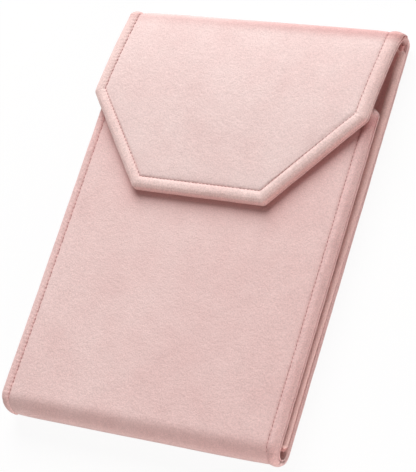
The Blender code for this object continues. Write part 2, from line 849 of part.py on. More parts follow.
def main():
    clear_scene()
    collection = new_collection("jewelry_travel_folder")
    materials = make_materials()
    make_back_cover(materials, collection)
    make_inner_panel(materials, collection)
    make_chain_pocket(materials, collection)
    make_leaf_tape(materials, collection)
    make_ring_bar_seats(materials, collection)

    bottom_spine = make_spine(
        "bottom_spine", BOTTOM_NOSE, BOTTOM_SPINE_HEIGHT, BOTTOM_HOLLOW_WALL, bottom_place,
        materials, collection,
    )
    front = make_front_cover(materials, collection)
    front += make_slip_pocket(materials, collection)
    front += make_front_stud(materials, collection)
    top_spine = make_spine(
        "top_spine", TOP_NOSE, TOP_SPINE_HEIGHT, TOP_HOLLOW_WALL, top_place,
        materials, collection,
    )
    flap = make_flap(materials, collection)
    flap += make_flap_socket(materials, collection)
    leaf = make_leaf(materials, collection)
    ring_bar = make_ring_bar(materials, collection)

    lower = fold("bottom_spine_fold", BOTTOM_SPINE_AXIS, None, bottom_spine, collection)
    fold("front_fold", FRONT_AXIS, lower, front, collection)
    upper = fold("top_spine_fold", TOP_SPINE_AXIS, None, top_spine, collection)
    fold("flap_fold", FLAP_AXIS, upper, flap, collection)
    fold("leaf_fold", LEAF_AXIS, None, leaf, collection)
    fold("ring_bar_fold", RING_BAR_AXIS, None, ring_bar, collection)


main()
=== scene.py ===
"""Looks of the jewelry travel folder: velvet covers, rolled bindings, stitches and inside fittings.

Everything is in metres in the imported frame: X across, Y from the bottom spine to the top spine, Z up.
"""
import math

import bpy
import numpy as np
from mathutils import Matrix, Vector, noise


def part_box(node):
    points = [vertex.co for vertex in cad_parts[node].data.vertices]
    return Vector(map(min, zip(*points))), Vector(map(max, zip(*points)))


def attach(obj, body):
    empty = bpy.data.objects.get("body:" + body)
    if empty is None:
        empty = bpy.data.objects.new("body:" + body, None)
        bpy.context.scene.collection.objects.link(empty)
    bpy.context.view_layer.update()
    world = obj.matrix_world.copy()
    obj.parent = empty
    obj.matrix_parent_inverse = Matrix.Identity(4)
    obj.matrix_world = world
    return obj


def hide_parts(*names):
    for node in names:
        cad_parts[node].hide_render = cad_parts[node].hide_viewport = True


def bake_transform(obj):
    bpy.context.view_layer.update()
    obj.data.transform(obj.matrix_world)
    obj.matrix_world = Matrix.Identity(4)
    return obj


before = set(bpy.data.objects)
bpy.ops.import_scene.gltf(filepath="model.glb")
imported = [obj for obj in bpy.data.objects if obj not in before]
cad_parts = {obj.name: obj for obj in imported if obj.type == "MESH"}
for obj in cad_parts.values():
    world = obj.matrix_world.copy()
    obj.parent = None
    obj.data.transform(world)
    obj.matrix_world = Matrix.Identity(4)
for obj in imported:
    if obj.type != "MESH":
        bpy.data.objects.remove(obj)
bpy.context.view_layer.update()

# Camera, solved from the photograph's outline
CAMERA_PLACE = (0.5104, -0.2728, 0.8156)
CAMERA_RIGHT = (0.851, 0.290, -0.438)
CAMERA_BACK = (0.511, -0.270, 0.816)
CAMERA_LENS_MM = 161.36
CAMERA_SENSOR_MM = 36.0
CAMERA_CLIP_START = 0.01

# Light, surroundings and floor
KEY_FROM = (-0.28, 0.84, 0.58)
KEY_DISTANCE = 1.9
KEY_SIZE = 1.50
KEY_POWER = 55.5
KEY_COLOUR = (1.0, 1.0, 1.0)
FILL_FROM = (0.60, -0.85, 0.22)
FILL_DISTANCE = 1.2
FILL_SIZE = 0.70
FILL_POWER = 9.0
FILL_COLOUR = (1.0, 0.90, 0.88)
LIGHT_TARGET = (0, 0, 0.01)
WORLD_STRENGTH = 0.150
WORLD_COLOUR = (1.0, 0.77, 0.74, 1)
WHITE = (1, 1, 1, 1)
FLOOR_Z = -0.0004
FLOOR_REACH = 3.0
FLOOR_COLOUR = (0.95, 0.95, 0.95, 1)
FLOOR_ROUGHNESS = 0.95
FLOOR_GLOW_SHARE = 0.93

# How far the padded roll of the front cover's edge stands past the solid
FRONT_END_PROUD = 0.0009

# Places and levels of the covers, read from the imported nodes
HALF_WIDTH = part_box("back_binding_right")[1].x
BACK_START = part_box("back_skin")[0].y
BACK_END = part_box("back_skin")[1].y
BACK_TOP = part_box("back_lining")[1].z
FRONT_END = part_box("front_binding")[1].y + FRONT_END_PROUD
FRONT_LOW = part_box("front_binding")[0].z
FRONT_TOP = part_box("front_binding")[1].z
BOTTOM_NOSE_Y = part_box("bottom_spine_skin")[0].y
FLAP_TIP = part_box("flap_binding")[0].y
FLAP_ROOT_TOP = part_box("top_spine_skin")[1].z
FLAP_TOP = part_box("flap_binding")[1].z
FLAP_ROOT_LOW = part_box("flap_binding")[0].z

# Plan of the covers
CORNER_RADIUS = 0.0030
FLAP_SHOULDER_Y = 0.0568
FLAP_TIP_HALF_WIDTH = 0.0358
FLAP_RISE_RUN = 0.0600
SEAM_CORNER_RADIUS = 0.0009
COVER_BINDING_WIDTH = 0.0050
FLAP_BINDING_WIDTH = 0.0060

# How the flap hangs, the front cover leans in and the bottom spine's left end is rounded
FLAP_DRIFT_ROOT = 0.0003
FLAP_DRIFT = 0.0016
FLAP_DRIFT_RUN = 0.0500
FLAP_SAG = 0.0006
FLAP_SAG_RUN = 0.0700
ROOT_SPREAD = 0.0012
ROOT_SPREAD_RUN = 0.0080
FLARE_LOW = -0.0009
FLARE_HIGH = 0.0017
FLARE_POWER = 0.75
NOSE_CORNER_RUN = 0.0095
NOSE_CORNER_DEPTH = 0.0042
NOSE_CORNER_POWER = 8

# Spines
BOTTOM_NOSE_UPPER_POWER = 1.70
BOTTOM_NOSE_LOWER_POWER = 2.40
BOTTOM_NOSE_DEPTH = 0.0076
BOTTOM_NOSE_SHORT = 0.0004
TOP_NOSE_POWER = 2.1
TOP_NOSE_DEPTH = 0.0038
TOP_HOLLOW_POWER = 2.6
BOTTOM_HOLLOW_POWER = 2.0
BOTTOM_HOLLOW_DEPTH = 0.0035
TOP_HOLLOW_DEPTH = 0.0023
FOLD_STEPS = 60

# Mesh steps
STATION_STEP = 0.0004
CORNER_STEPS = 12
ROLL_STEPS = 16
TOP_RUN_STEPS = 9
EDGE_STEP = 0.00035
EDGE_ZONE = 0.0040
MIDDLE_STEP = 0.0015
EDGE_HOLD_SHARE = 0.5
LOOP_TOLERANCE = 0.00002
TINY = 1e-9

# Shape of the rolled binding
ROLL_DEPTH = 0.0021
ROLL_POWER = 2.1
ROLL_SWELL = 0.00055
SWELL_LEAN = 1.25
UNDER_SWELL = 0.00012
ROLL_CENTRE = 0.52
CREASE_SHARE = 0.27
CREASE_DEPTH = 0.00090
BEAD_DEPTH = 0.00070
BEAD_STEPS = 12
ROLL_WAVE = 0.00014
ROLL_WAVE_LENGTH = 0.0070
BACK_ROLL_PROUD = 0.0004
PROUD_POWER = 0.5
FACE_POWER = 1.4
CREASE_ANGLE = math.pi / 3
SWELL_POWER = 0.8
FLAT_POWER = 4
WAVE_ACROSS_SHARE = 0.5

# Seams and stitches
GROOVE_DEPTH = 0.00032
GROOVE_REACH = 0.00085
PUCKER_DEPTH = 0.00022
PUCKER_REACH = 0.0016
SEAM_START_SHARE = 0.62
SEAM_RUN_OUT = 0.0015
CROSS_CREASE_DEPTH = 0.00035
CROSS_CREASE_REACH = 0.0006
STITCH_PITCH = 0.0020
STITCH_LENGTH = 0.00115
STITCH_RADIUS = 0.00022
STITCH_SUNK = 0.00010
STITCH_END_DROP = STITCH_SUNK * 2.4
STITCH_RINGS = ((-1, 0.35), (-0.8, 0.8), (0, 1.0), (0.8, 0.8), (1, 0.35))
STITCH_SIDES = 6
ABOVE_SEAM = 0.001
UNDER_BINDING = 0.0007
UNDER_SLOPE = 0.5

# Padding
FRONT_CROWN = 0.0006
FLAP_CROWN = 0.0004
BACK_CROWN = 0.0001
LINING_CROWN = 0.0001
CROWN_REACH = 0.0050
FRONT_BOW = 0.0004
NAP_WAVE = 0.00010
NAP_WAVE_LENGTH = 0.0240
SEED_STEPS = (7.31, 3.17, 5.53)
PAD_BOTTOM_SHARE = 0.56
LINING_TOP_SHARE = 0.16
BACK_PAD_BOTTOM_SHARE = PAD_BOTTOM_SHARE + 0.2

# Padded inner panel and its piped rim
PANEL_SEAM_INSET = 0.0042
PANEL_EDGE_RADIUS = 0.0011
PANEL_GROOVE_DEPTH = GROOVE_DEPTH * 0.8
PANEL_PUCKER_SHARE = 0.7
RIM_X = 0.0741
RIM_SPREAD = -0.0003
RIM_RADIUS = 0.0015
RIM_RADIUS_HIGH = 0.0021
RIM_TOP_GAP = 0.0030
RIM_END_GAP = 0.0012
RIM_CORNER_RADIUS = 0.0030
RIM_TAPER = 0.0012
RIM_END_SHARE = 0.02
RIM_SIDES = 20
RIM_LOW_Y = -0.060
RIM_LOW_Z = 0.0060
RIM_HIGH_Y = 0.060
RIM_HIGH_Z = 0.0044

# Pockets, bands, earring leaf and ring bar
PLATE_ROUND_STEPS = 7
POCKET_EDGE_RADIUS = 0.00018
POCKET_RIPPLE = 0.00010
POCKET_RIPPLE_LENGTH = 0.0046
BAND_EDGE_RADIUS = 0.0002
RIB_PITCH = 0.0006
RIB_HEIGHT = 0.00003
LEAF_ROLL_SIZE = 0.36
LEAF_CORNER_RADIUS = 0.0050
LEAF_BINDING_WIDTH = 0.0035
EARRING_HOLE_RADIUS = 0.0010
EARRING_PAIR_SPACING = 0.0100
EARRING_COLUMN_PITCH = 0.0230
EARRING_ROW_PITCH = 0.0200
EARRING_COLUMNS = 5
EARRING_ROWS = 6
LEAF_FACE_SUNK = 0.0001
HOLE_STEPS = 16
HOLE_RIM = 0.00035
HOLE_CELL = 0.0016
HOLE_PROFILE = ((1.0, 0.0), (0.35, 0.00004), (0.1, 0.00015), (0.0, 0.0004))
BAR_SIDES = 40
BAR_RINGS = 150
BAR_RING_SPREAD = 0.15
BAR_END_SHARE = 0.9
BAR_END_CLOSED = 0.0004
BAR_WRINKLE = 0.00022
BAR_WRINKLE_LENGTH = 0.0035
BAR_WRINKLE_STRETCH = 1.6
BAR_WRINKLE_SUNK = 0.5

# Colours
VELVET = (0.850, 0.655, 0.630)
# A lighter copy of the front's velvet: painted light that makes the flap brighter than the front cover
VELVET_FLAP = (0.855, 0.690, 0.664)
BINDING = (0.845, 0.615, 0.592)
# A lighter copy of the binding: painted light for the flap's binding
BINDING_FLAP = (0.880, 0.685, 0.650)
# Deep colour of the velvet's random patches, and the colour that the painted shade darkens it towards
VELVET_DEEP = (0.540, 0.170, 0.165)
# Lining velvet, darkened as painted shade for the shadowed inside of the folder
LINING = (0.640, 0.330, 0.315)
LINING_DEEP = (0.420, 0.150, 0.140)
# Inner panel velvet, darkened as painted shade for the shadowed inside of the folder
PAD = (0.700, 0.370, 0.350)
RIM = (0.900, 0.640, 0.600)
ELASTIC = (0.640, 0.350, 0.340)
# Dark pink thread, darker than the velvet, partly its own colour and partly painted shade for the stitch
# holes
THREAD = (0.520, 0.250, 0.235)
GREYBOARD = (0.400, 0.350, 0.290)
GOLD = (0.900, 0.620, 0.480)
SHEEN_TINT = (1.0, 0.80, 0.77, 1)

# Grain of the materials: scale, detail and roughness of each noise
MOTTLE_NOISE = (42.0, 4, 0.6)
BLOTCH_NOISE = (150.0, 4, 0.7)
FINE_NOISE = (1500.0, 2, 0.5)
NAP_NOISE = (1500.0, 3, 0.6)
PEBBLE_NOISE = (620.0, 3, 0.55)
TWIST_NOISE = (1700.0, 2, 0.5)
WEAVE_NOISE = (1500.0, 3, 0.6)
FIBRE_NOISE = (700.0, 5, 0.7)
MARK_NOISE = (700.0, 4, 0.6)
WORN_NOISE = (150.0, 3, 0.5)
MOTTLE_DEPTH = 0.13
PATCH_SPAN = (0.3, 0.7)
GRAIN_SPAN = (0.25, 0.75)
BLOTCH_TONES = (0.96, 1.03)
LIGHT_GRAIN_SHARE = 0.6
MARK_ROUGHNESS = (0.18, 0.34)
PEBBLE_BUMP = (0.44, 0.00060)
NAP_BUMP = (0.48, 0.00032)
WEAVE_BUMP = (0.3, 0.0001)
FIBRE_BUMP = (0.3, 0.0002)

# Painted shade and painted shadows: how far the colour is darkened towards the deep one, and over which
# places
# Painted shade along the seam grooves
SEAM_PAINTED_SHADE = 0.10
SEAM_PAINTED_SHADE_REACH = 0.0007
# Painted shade in a band where the front cover rolls over the bottom spine
FOLD_PAINTED_SHADE = 0.10
FOLD_BAND = (-0.1066, -0.1050, -0.1025, -0.0960)
FOLD_LEFT_SHARE = 0.65
# Painted shade in a pinker band along the fold at the flap's root
ROOT_PAINTED_SHADE = 0.45
ROOT_BAND = (0.0965, 0.1025, 0.1045, 0.1062)
ROOT_LEFT_SHARE = 0.4
ROOT_HALF_RUN = 0.05
# Painted shadow on the front cover just outside the flap's edge; it stays there when the flap is open
PAINTED_FLAP_SHADOW = 0.56
PAINTED_FLAP_SHADOW_BAND = (-0.0060, -0.0010, 0.03, 0.04)
PAINTED_FLAP_SHADOW_REACH = 0.0046
PAINTED_FLAP_SHADOW_DEPTH = 0.001
# Painted shade darkening the front cover towards its right side, more so lower down
RIGHT_PAINTED_SHADE = 0.10
RIGHT_START_X = -0.02
RIGHT_RUN = 0.09
RIGHT_TOP_SHARE = 0.55
# Painted shadow along the lowest part of the bottom spine
NOSE_PAINTED_SHADOW = 0.45
NOSE_TONE_Z = 0.0012
NOSE_TONE_HEIGHT = 0.0030
NOSE_TONE_Y = -0.1050
NOSE_TONE_RUN = 0.0040
# Painted shade darkening the flap towards its root, and at its right side
SLOPE_PAINTED_SHADE = 0.03
SLOPE_START_Y = 0.045
SLOPE_RUN = 0.045
SIDE_PAINTED_SHADE = 0.06
SIDE_START_X = 0.0690
SIDE_RUN = 0.0020
# Painted shade along the outer side of the flap's edge
EDGE_PAINTED_SHADE = 0.42
EDGE_BAND = (-0.0014, 0.0003, 0.03, 0.04)
EDGE_LEFT_X = -0.042
EDGE_FADE = 0.010

# Painted shade along the seams at each point of the pieces made so far, by name
SEAM_PAINTED_SHADES = {}


# Small mesh tools

def new_mesh_object(name, points, faces, material, body_slot=None):
    mesh = bpy.data.meshes.new(name)
    mesh.from_pydata([tuple(p) for p in points], [], faces)
    mesh.validate()
    mesh.shade_smooth()
    piece = bpy.data.objects.new(name, mesh)
    bpy.context.scene.collection.objects.link(piece)
    mesh.materials.append(material)
    return piece


def grid_faces(rows, columns, first=0, flip=False):
    faces = []
    for r in range(rows - 1):
        for c in range(columns - 1):
            a = first + r * columns + c
            face = (a, a + 1, a + columns + 1, a + columns)
            faces.append(face[::-1] if flip else face)
    return faces


def grid_border(rows, columns):
    """Indices round a grid, once."""
    border = list(range(columns))
    border += [r * columns + columns - 1 for r in range(1, rows)]
    border += [(rows - 1) * columns + c for c in range(columns - 2, -1, -1)]
    border += [r * columns for r in range(rows - 2, 0, -1)]
    return border


def border_faces(rows, columns):
    """Faces that close the gap round two grids, the second of which is listed after the first."""
    count = rows * columns
    border = grid_border(rows, columns)
    return [(b, a, a + count, b + count) for a, b in zip(border, border[1:] + border[:1])]


def closed_pad(top, bottom):
    """Points and faces of a pad between two grids of the same size, each (rows, columns, 3)."""
    rows, columns = top.shape[:2]
    points = np.concatenate([top.reshape(-1, 3), bottom.reshape(-1, 3)])
    faces = grid_faces(rows, columns) + grid_faces(rows, columns, rows * columns, flip=True)
    return points, outward(points, faces + border_faces(rows, columns))


def closed_sweep(sections):
    """Points and faces of a closed section swept along stations: (stations, section, 3).
    A path that comes back to its start is joined there, and any other gets capped ends."""
    looped = np.abs(sections[0] - sections[-1]).max() < LOOP_TOLERANCE
    if looped:
        sections = sections[:-1]
    points = sections.reshape(-1, 3)
    return points, outward(points, sweep_faces(*sections.shape[:2], looped))


def sweep_faces(count, size, looped=False, first=0):
    """Faces round a number of sections of one size, whose points are listed from first on."""
    faces = []
    for s in range(count if looped else count - 1):
        here, following = first + s * size, first + (s + 1) % count * size
        for k in range(size):
            n = (k + 1) % size
            faces.append((here + k, here + n, following + n, following + k))
    if not looped:
        last = first + (count - 1) * size
        faces.append(tuple(range(first, first + size))[::-1])
        faces.append(tuple(range(last, last + size)))
    return faces


def outward(points, faces):
    """The faces, turned so that the closed mesh has a positive volume."""
    volume = 0.0
    for face in faces:
        a = points[face[0]]
        for b, c in zip(face[1:-1], face[2:]):
            volume += np.dot(a, np.cross(points[b], points[c]))
    return faces if volume > 0 else [face[::-1] for face in faces]


def unit_rows(vectors):
    return vectors / np.linalg.norm(vectors, axis=1)[:, None]


def eased(value):
    """A smooth step from 0 to 1."""
    share = np.clip(value, 0, 1)
    return share * share * (3 - 2 * share)


def facing(share):
    """1 on the outer face of a cover, -1 on its inner face."""
    return 1 if share > 0.5 else -1


def waves(points, length, seed):
    """Smooth noise from -1 to 1 at each point."""
    shift = Vector([seed * step for step in SEED_STEPS])
    values = [noise.noise(Vector(p) / length + shift) for p in points.reshape(-1, 3)]
    return np.array(values).reshape(points.shape[:-1])


def graded(start, end, edge_start=True, edge_end=True):
    """Places from start to end, close together near the sewn ends."""
    places = [start]
    while places[-1] < end:
        here = places[-1]
        from_start = here - start if edge_start else math.inf
        to_end = end - here if edge_end else math.inf
        share = min(1.0, max(0.0, min(from_start, to_end) / EDGE_ZONE - EDGE_HOLD_SHARE))
        places.append(here + EDGE_STEP + (MIDDLE_STEP - EDGE_STEP) * share)
    places = np.array(places)
    return start + (places - start) * (end - start) / (places[-1] - start)


# Folds: a cover and half of its spine, unrolled into one flat sheet

def make_fold(t, outer, inner):
    """t is the place on the flat sheet, outer and inner the two faces' (y, z) there."""
    tangent = np.gradient(outer, t, axis=0)
    normal = unit_rows(np.stack([-tangent[:, 1], tangent[:, 0]], 1))
    side = np.sign(((outer - inner) * normal).sum(1))
    normal *= side[:, None]
    return {"t": t, "outer": outer, "inner": inner, "normal": normal}


def place(fold, x, t, share, lift):
    """Points of the folded shell: share 0 is its inner face, 1 its outer face, lift goes outwards."""
    def column(k):
        rows = ("inner", "outer", "normal")
        inner, outer, normal = (np.interp(t, fold["t"], fold[row][:, k]) for row in rows)
        return inner + (outer - inner) * share + normal * lift
    y = column(0)
    return np.stack([np.broadcast_to(x, y.shape), y, column(1)], -1)


def joined_path(first, second):
    """Two paths with a shared point, as one."""
    return np.concatenate([first, second[1:]])


def run_of(path):
    steps = np.linalg.norm(np.diff(path, axis=0), axis=1)
    return np.concatenate([[0.0], np.cumsum(steps)])


def full_quarter(angle, power):
    """Cosine and sine of a quarter round that is a circle at power 2 and fuller above it."""
    return (np.maximum(value, 0) ** (2 / power) for value in (np.cos(angle), np.sin(angle)))


def nose_quarter(start_y, depth, middle_z, end_z, power):
    across, along = full_quarter(np.linspace(0, math.pi / 2, FOLD_STEPS), power)
    return np.stack([start_y + depth * across, middle_z + (end_z - middle_z) * along], 1)


def bottom_fold(outer_z, inner_z, end_y):
    """From the middle of the bottom spine over its nose and along a cover to end_y."""
    start_y = BOTTOM_NOSE_Y + BOTTOM_NOSE_SHORT + BOTTOM_NOSE_DEPTH
    power = BOTTOM_NOSE_UPPER_POWER if outer_z > inner_z else BOTTOM_NOSE_LOWER_POWER
    outer = nose_quarter(start_y, -BOTTOM_NOSE_DEPTH, FRONT_TOP / 2, outer_z, power)
    inner_depth = start_y - BACK_START + BOTTOM_HOLLOW_DEPTH
    middle_z = (BACK_TOP + FRONT_LOW) / 2
    inner = nose_quarter(start_y, -inner_depth, middle_z, inner_z, BOTTOM_HOLLOW_POWER)
    return quarter_and_cover(outer, inner, start_y, end_y)


def top_fold(outer_z, inner_z, end_y, rise):
    """From the middle of the top spine over its nose and along a cover to end_y."""
    outer = nose_quarter(BACK_END, TOP_NOSE_DEPTH, FLAP_ROOT_TOP / 2, outer_z, TOP_NOSE_POWER)
    middle_z = (BACK_TOP + FLAP_ROOT_LOW) / 2
    inner = nose_quarter(BACK_END, TOP_HOLLOW_DEPTH, middle_z, inner_z, TOP_HOLLOW_POWER)
    return quarter_and_cover(outer, inner, BACK_END, end_y, rise)


def quarter_and_cover(outer, inner, start_y, end_y, rise=None):
    """A fold from a spine's quarter and a straight cover, with the length of the quarter."""
    quarter = run_of(outer)
    run = np.linspace(0, abs(end_y - start_y), FOLD_STEPS * 2)
    y = np.linspace(start_y, end_y, FOLD_STEPS * 2)
    lifted = np.zeros_like(run) if rise is None else rise(run)
    outer_run = np.stack([y, outer[-1, 1] + lifted], 1)
    inner_run = np.stack([y, inner[-1, 1] + lifted], 1)
    t = joined_path(quarter, quarter[-1] + run)
    return make_fold(t, joined_path(outer, outer_run), joined_path(inner, inner_run)), quarter[-1]


def flap_rise(run):
    gone = np.clip(run / FLAP_RISE_RUN, 0, 1)
    return (FLAP_TOP - FLAP_ROOT_TOP) * (1 - (1 - gone) ** 2)


# Outlines on the unrolled sheet: an open path that goes up the left side and down the right one

def inset_corners(corners, inset):
    """The path's corners, moved to its right by inset."""
    points = np.array(corners, float)
    steps = unit_rows(np.diff(points, axis=0))
    sides = np.stack([steps[:, 1], -steps[:, 0]], 1)
    moved = [points[0] + sides[0] * inset]
    for k in range(1, len(points) - 1):
        share = inset / (1 + sides[k - 1] @ sides[k])
        moved.append(points[k] + (sides[k - 1] + sides[k]) * share)
    moved.append(points[-1] + sides[-1] * inset)
    return np.array(moved)


def rounded_ends(corners, radius):
    """For each inner corner, where its arc starts and ends, the corner itself and its turn."""
    steps = unit_rows(np.diff(corners, axis=0))
    found = []
    for k in range(1, len(corners) - 1):
        turn = math.acos(max(-1.0, min(1.0, steps[k - 1] @ steps[k])))
        back = radius * math.tan(turn / 2)
        found.append((corners[k] - steps[k - 1] * back, corners[k] + steps[k] * back, corners[k], turn))
    return found


def arc_between(start, end, corner, turn):
    middle = (start + end) / 2
    out = corner - middle
    back = np.linalg.norm(end - start) / 2 * math.tan(math.pi / 2 - turn / 2)
    centre = middle - out / np.linalg.norm(out) * back
    a, b = start - centre, end - centre
    share = np.linspace(0, 1, CORNER_STEPS + 1)[:, None]
    return centre + (a * np.sin((1 - share) * turn) + b * np.sin(share * turn)) / math.sin(turn)


def stations(corners, radius, inset):
    """Points along the inset path, the same count for every inset."""
    counts = edge_counts(corners)
    moved = inset_corners(corners, inset)
    turns = rounded_ends(moved, max(radius - inset, SEAM_CORNER_RADIUS))
    path, here = [], moved[0]
    for k, count in enumerate(counts):
        end = turns[k][0] if k < len(turns) else moved[-1]
        path.append(np.linspace(here, end, count + 1)[:-1])
        if k < len(turns):
            path.append(arc_between(*turns[k])[:-1])
            here = turns[k][1]
    path.append(moved[-1:])
    return np.concatenate(path)


def edge_counts(corners):
    lengths = np.linalg.norm(np.diff(np.array(corners), axis=0), axis=1)
    return [int(round(length / STATION_STEP)) for length in lengths]


# The rolled binding

def roll_outline(width, size):
    """Inset and share of the thickness round the binding, from its top seam to its lower one, and how
    many of the points lie above the roll's middle. A large roll lies on a small bead, with a crease
    between them."""
    depth = ROLL_DEPTH * size
    bead = BEAD_DEPTH * size
    run = np.linspace(0, 1, TOP_RUN_STEPS + 1)
    across, upwards = full_quarter(np.linspace(math.pi / 2, 0, ROLL_STEPS), ROLL_POWER)
    crease = np.linspace(0, CREASE_ANGLE, ROLL_STEPS // 2)[1:]
    half = np.linspace(math.pi / 2, -math.pi / 2, BEAD_STEPS)
    inset = [
        width - (width - depth) * run[:-1] ** FACE_POWER,
        depth * (1 - across),
        CREASE_DEPTH * size * (1 - np.cos(crease)) / (1 - math.cos(CREASE_ANGLE)),
        bead * (1 - np.cos(half)),
        bead + (width - bead) * (1 - (1 - run[1:]) ** FACE_POWER),
    ]
    share = [
        np.ones(TOP_RUN_STEPS),
        ROLL_CENTRE + (1 - ROLL_CENTRE) * upwards,
        ROLL_CENTRE - (ROLL_CENTRE - CREASE_SHARE) * np.sin(crease) / math.sin(CREASE_ANGLE),
        CREASE_SHARE * (0.5 + 0.5 * np.sin(half)),
        np.zeros(TOP_RUN_STEPS),
    ]
    return np.concatenate(inset), np.concatenate(share), TOP_RUN_STEPS + ROLL_STEPS // 2


def roll_section(width, size, proud=0.0):
    """Inset, share of the thickness, outward lift and seam groove round the binding."""
    inset, share, upper_count = roll_outline(width, size)
    inset = inset - proud * np.clip(1 - inset / (ROLL_DEPTH * size), 0, 1) ** PROUD_POWER
    upper = np.arange(len(share)) < upper_count
    gone = np.clip((width - inset) / width, 0, 1)
    swell = np.sin(math.pi * np.clip(gone * SWELL_LEAN, 0, 1)) ** SWELL_POWER
    swell *= np.where(upper, ROLL_SWELL, UNDER_SWELL)
    groove = GROOVE_DEPTH * np.exp(-(width - inset) / GROOVE_REACH)
    flat = np.where(upper, share, 1 - share) ** FLAT_POWER * size * np.where(upper, 1, -1)
    return inset, share, swell * flat, groove * flat


def pucker(distance, along):
    """How far the thread pulls the cloth in, near a stitch."""
    pull = 0.5 + 0.5 * np.cos(2 * math.pi * along / STITCH_PITCH)
    return PUCKER_DEPTH * pull * np.exp(-distance / PUCKER_REACH)


def sewn(t, start):
    """0 where the seam has run out over the spine's nose, 1 where it is sewn down."""
    if start == 0:
        return np.ones_like(t)
    return np.clip((t - start) / SEAM_RUN_OUT, 0, 1)


def cross_crease(t, start, size):
    """The fold across the binding where its seam runs out."""
    if start == 0:
        return 0
    return CROSS_CREASE_DEPTH * size * np.exp(-((t - start) / CROSS_CREASE_REACH) ** 2)


def binding_points(fold, corners, radius, width, seed, size, proud, seam_start):
    """(stations, section, 3) points of a binding along the path."""
    inset, share, lift, groove = roll_section(width, size, proud)
    along = run_of(stations(corners, radius, width))
    rings = []
    for u, s, h, g in zip(inset, share, lift, groove):
        path = stations(corners, radius, u)
        side = size * facing(s)
        pull = (pucker(width - u, along) * side + g) * sewn(path[:, 1], seam_start)
        dent = cross_crease(path[:, 1], seam_start, side)
        rings.append(place(fold, path[:, 0], path[:, 1], s, h - pull - dent))
    points = np.stack(rings, 1)
    wave = waves(points, ROLL_WAVE_LENGTH, seed)
    away = points - points.mean(1, keepdims=True)
    away[..., 0] *= WAVE_ACROSS_SHARE
    away /= np.linalg.norm(away, axis=2)[..., None] + TINY
    edge = np.clip((width - inset) / ROLL_DEPTH, 0, 1)[None, :]
    return points + away * (wave * edge)[..., None] * ROLL_WAVE * size


def make_binding(name, fold, corners, radius, width, material, seed, size=1.0, proud=0.0, seam_start=0.0):
    sections = binding_points(fold, corners, radius, width, seed, size, proud, seam_start)
    points, faces = closed_sweep(sections)
    inset = roll_section(width, size)[0]
    path = stations(corners, radius, width)[:len(points) // len(inset)]
    # Painted shade along the binding's seam, where it is sewn down
    painted_seam_shade = seam_painted_shade(width - inset)[None, :] * sewn(path[:, 1], seam_start)[:, None]
    SEAM_PAINTED_SHADES[name] = painted_seam_shade.ravel()
    return new_mesh_object(name, points, faces, material, "binding")


# Panels inside the bindings

def seam_distance(corners, width, x, t):
    """Distance in from the seam and the place along it, for points of the flat sheet."""
    seam = inset_corners(corners, width)
    best = np.full(x.shape, np.inf)
    along = np.zeros(x.shape)
    run = 0.0
    for a, b in zip(seam[:-1], seam[1:]):
        step = (b - a) / np.linalg.norm(b - a)
        side = np.array([step[1], -step[0]])
        away = (x - a[0]) * side[0] + (t - a[1]) * side[1]
        here = run + (x - a[0]) * step[0] + (t - a[1]) * step[1]
        along = np.where(away < best, here, along)
        best = np.minimum(best, away)
        run += np.linalg.norm(b - a)
    return best, along


def half_width_at(corners, inset, t):
    """Half of the width of the symmetric inset path at each t."""
    path = inset_corners(corners, inset)
    half = len(path) // 2
    left = path[:half]
    return -np.interp(t, left[:, 1], left[:, 0])


def panel_sheet(corners, width, end_t):
    """x and t of a grid that reaches just under the binding."""
    inset = width - UNDER_BINDING
    rows = graded(0.0, end_t - inset, edge_start=False)
    half = half_width_at(corners, inset, rows)
    limit = half_width_at(corners, inset, np.array([0.0]))[0]
    columns = graded(-limit, limit) / limit
    return columns[None, :] * half[:, None], np.repeat(rows[:, None], len(columns), 1)


def panel_lift(distance, along, crown, held):
    """Crown and seam groove of a panel, distance in from its seam, which is sewn where held is 1."""
    inside = np.maximum(distance, 0)
    rise = crown * (1 - np.exp(-inside / CROWN_REACH))
    groove = GROOVE_DEPTH * np.exp(-inside / GROOVE_REACH)
    under = UNDER_SLOPE * np.maximum(-distance, 0)
    return rise - under - (groove + pucker(inside, along)) * held


def panel_object(name, fold, x, t, lift, shares, material, painted_seam_shade):
    """A panel whose face is on the side that shares[0] names, with its back inside the cover."""
    top = place(fold, x, t, shares[0], lift * facing(shares[0]))
    bottom = place(fold, x, t, shares[1], np.zeros_like(lift))
    SEAM_PAINTED_SHADES[name] = np.concatenate([painted_seam_shade.ravel(), np.zeros(x.size)])
    return new_mesh_object(name, *closed_pad(top, bottom), material)


def make_panel(name, fold, corners, width, crown, bow, shares, material, seed, seam_start):
    """A padded panel inside the binding of a cover, with the soft waves of its cloth."""
    end_t = fold["t"][-1]
    x, t = panel_sheet(corners, width, end_t)
    distance, along = seam_distance(corners, width, x, t)
    held = sewn(t, seam_start)
    lift = panel_lift(distance, along, crown, held)
    lift = lift + bow * (1 - (x / HALF_WIDTH) ** 2) * np.clip(t / end_t, 0, 1)
    face = place(fold, x, t, shares[0], lift * facing(shares[0]))
    lift = lift + waves(face, NAP_WAVE_LENGTH, seed) * NAP_WAVE * np.clip(distance / EDGE_ZONE, 0, 1)
    return panel_object(name, fold, x, t, lift, shares, material, seam_painted_shade(distance) * held)


# Stitches along a seam

def stitch_mesh(direction, up, centre):
    """Points of one thread dash: a short round bar with its ends sunk."""
    side = np.cross(direction, up)
    points = []
    for share, radius in STITCH_RINGS:
        middle = centre + direction * share * STITCH_LENGTH / 2 - up * STITCH_END_DROP * share ** 2
        for k in range(STITCH_SIDES):
            angle = math.pi * 2 * k / STITCH_SIDES
            offset = side * math.cos(angle) + up * math.sin(angle)
            points.append(middle + offset * radius * STITCH_RADIUS)
    return points


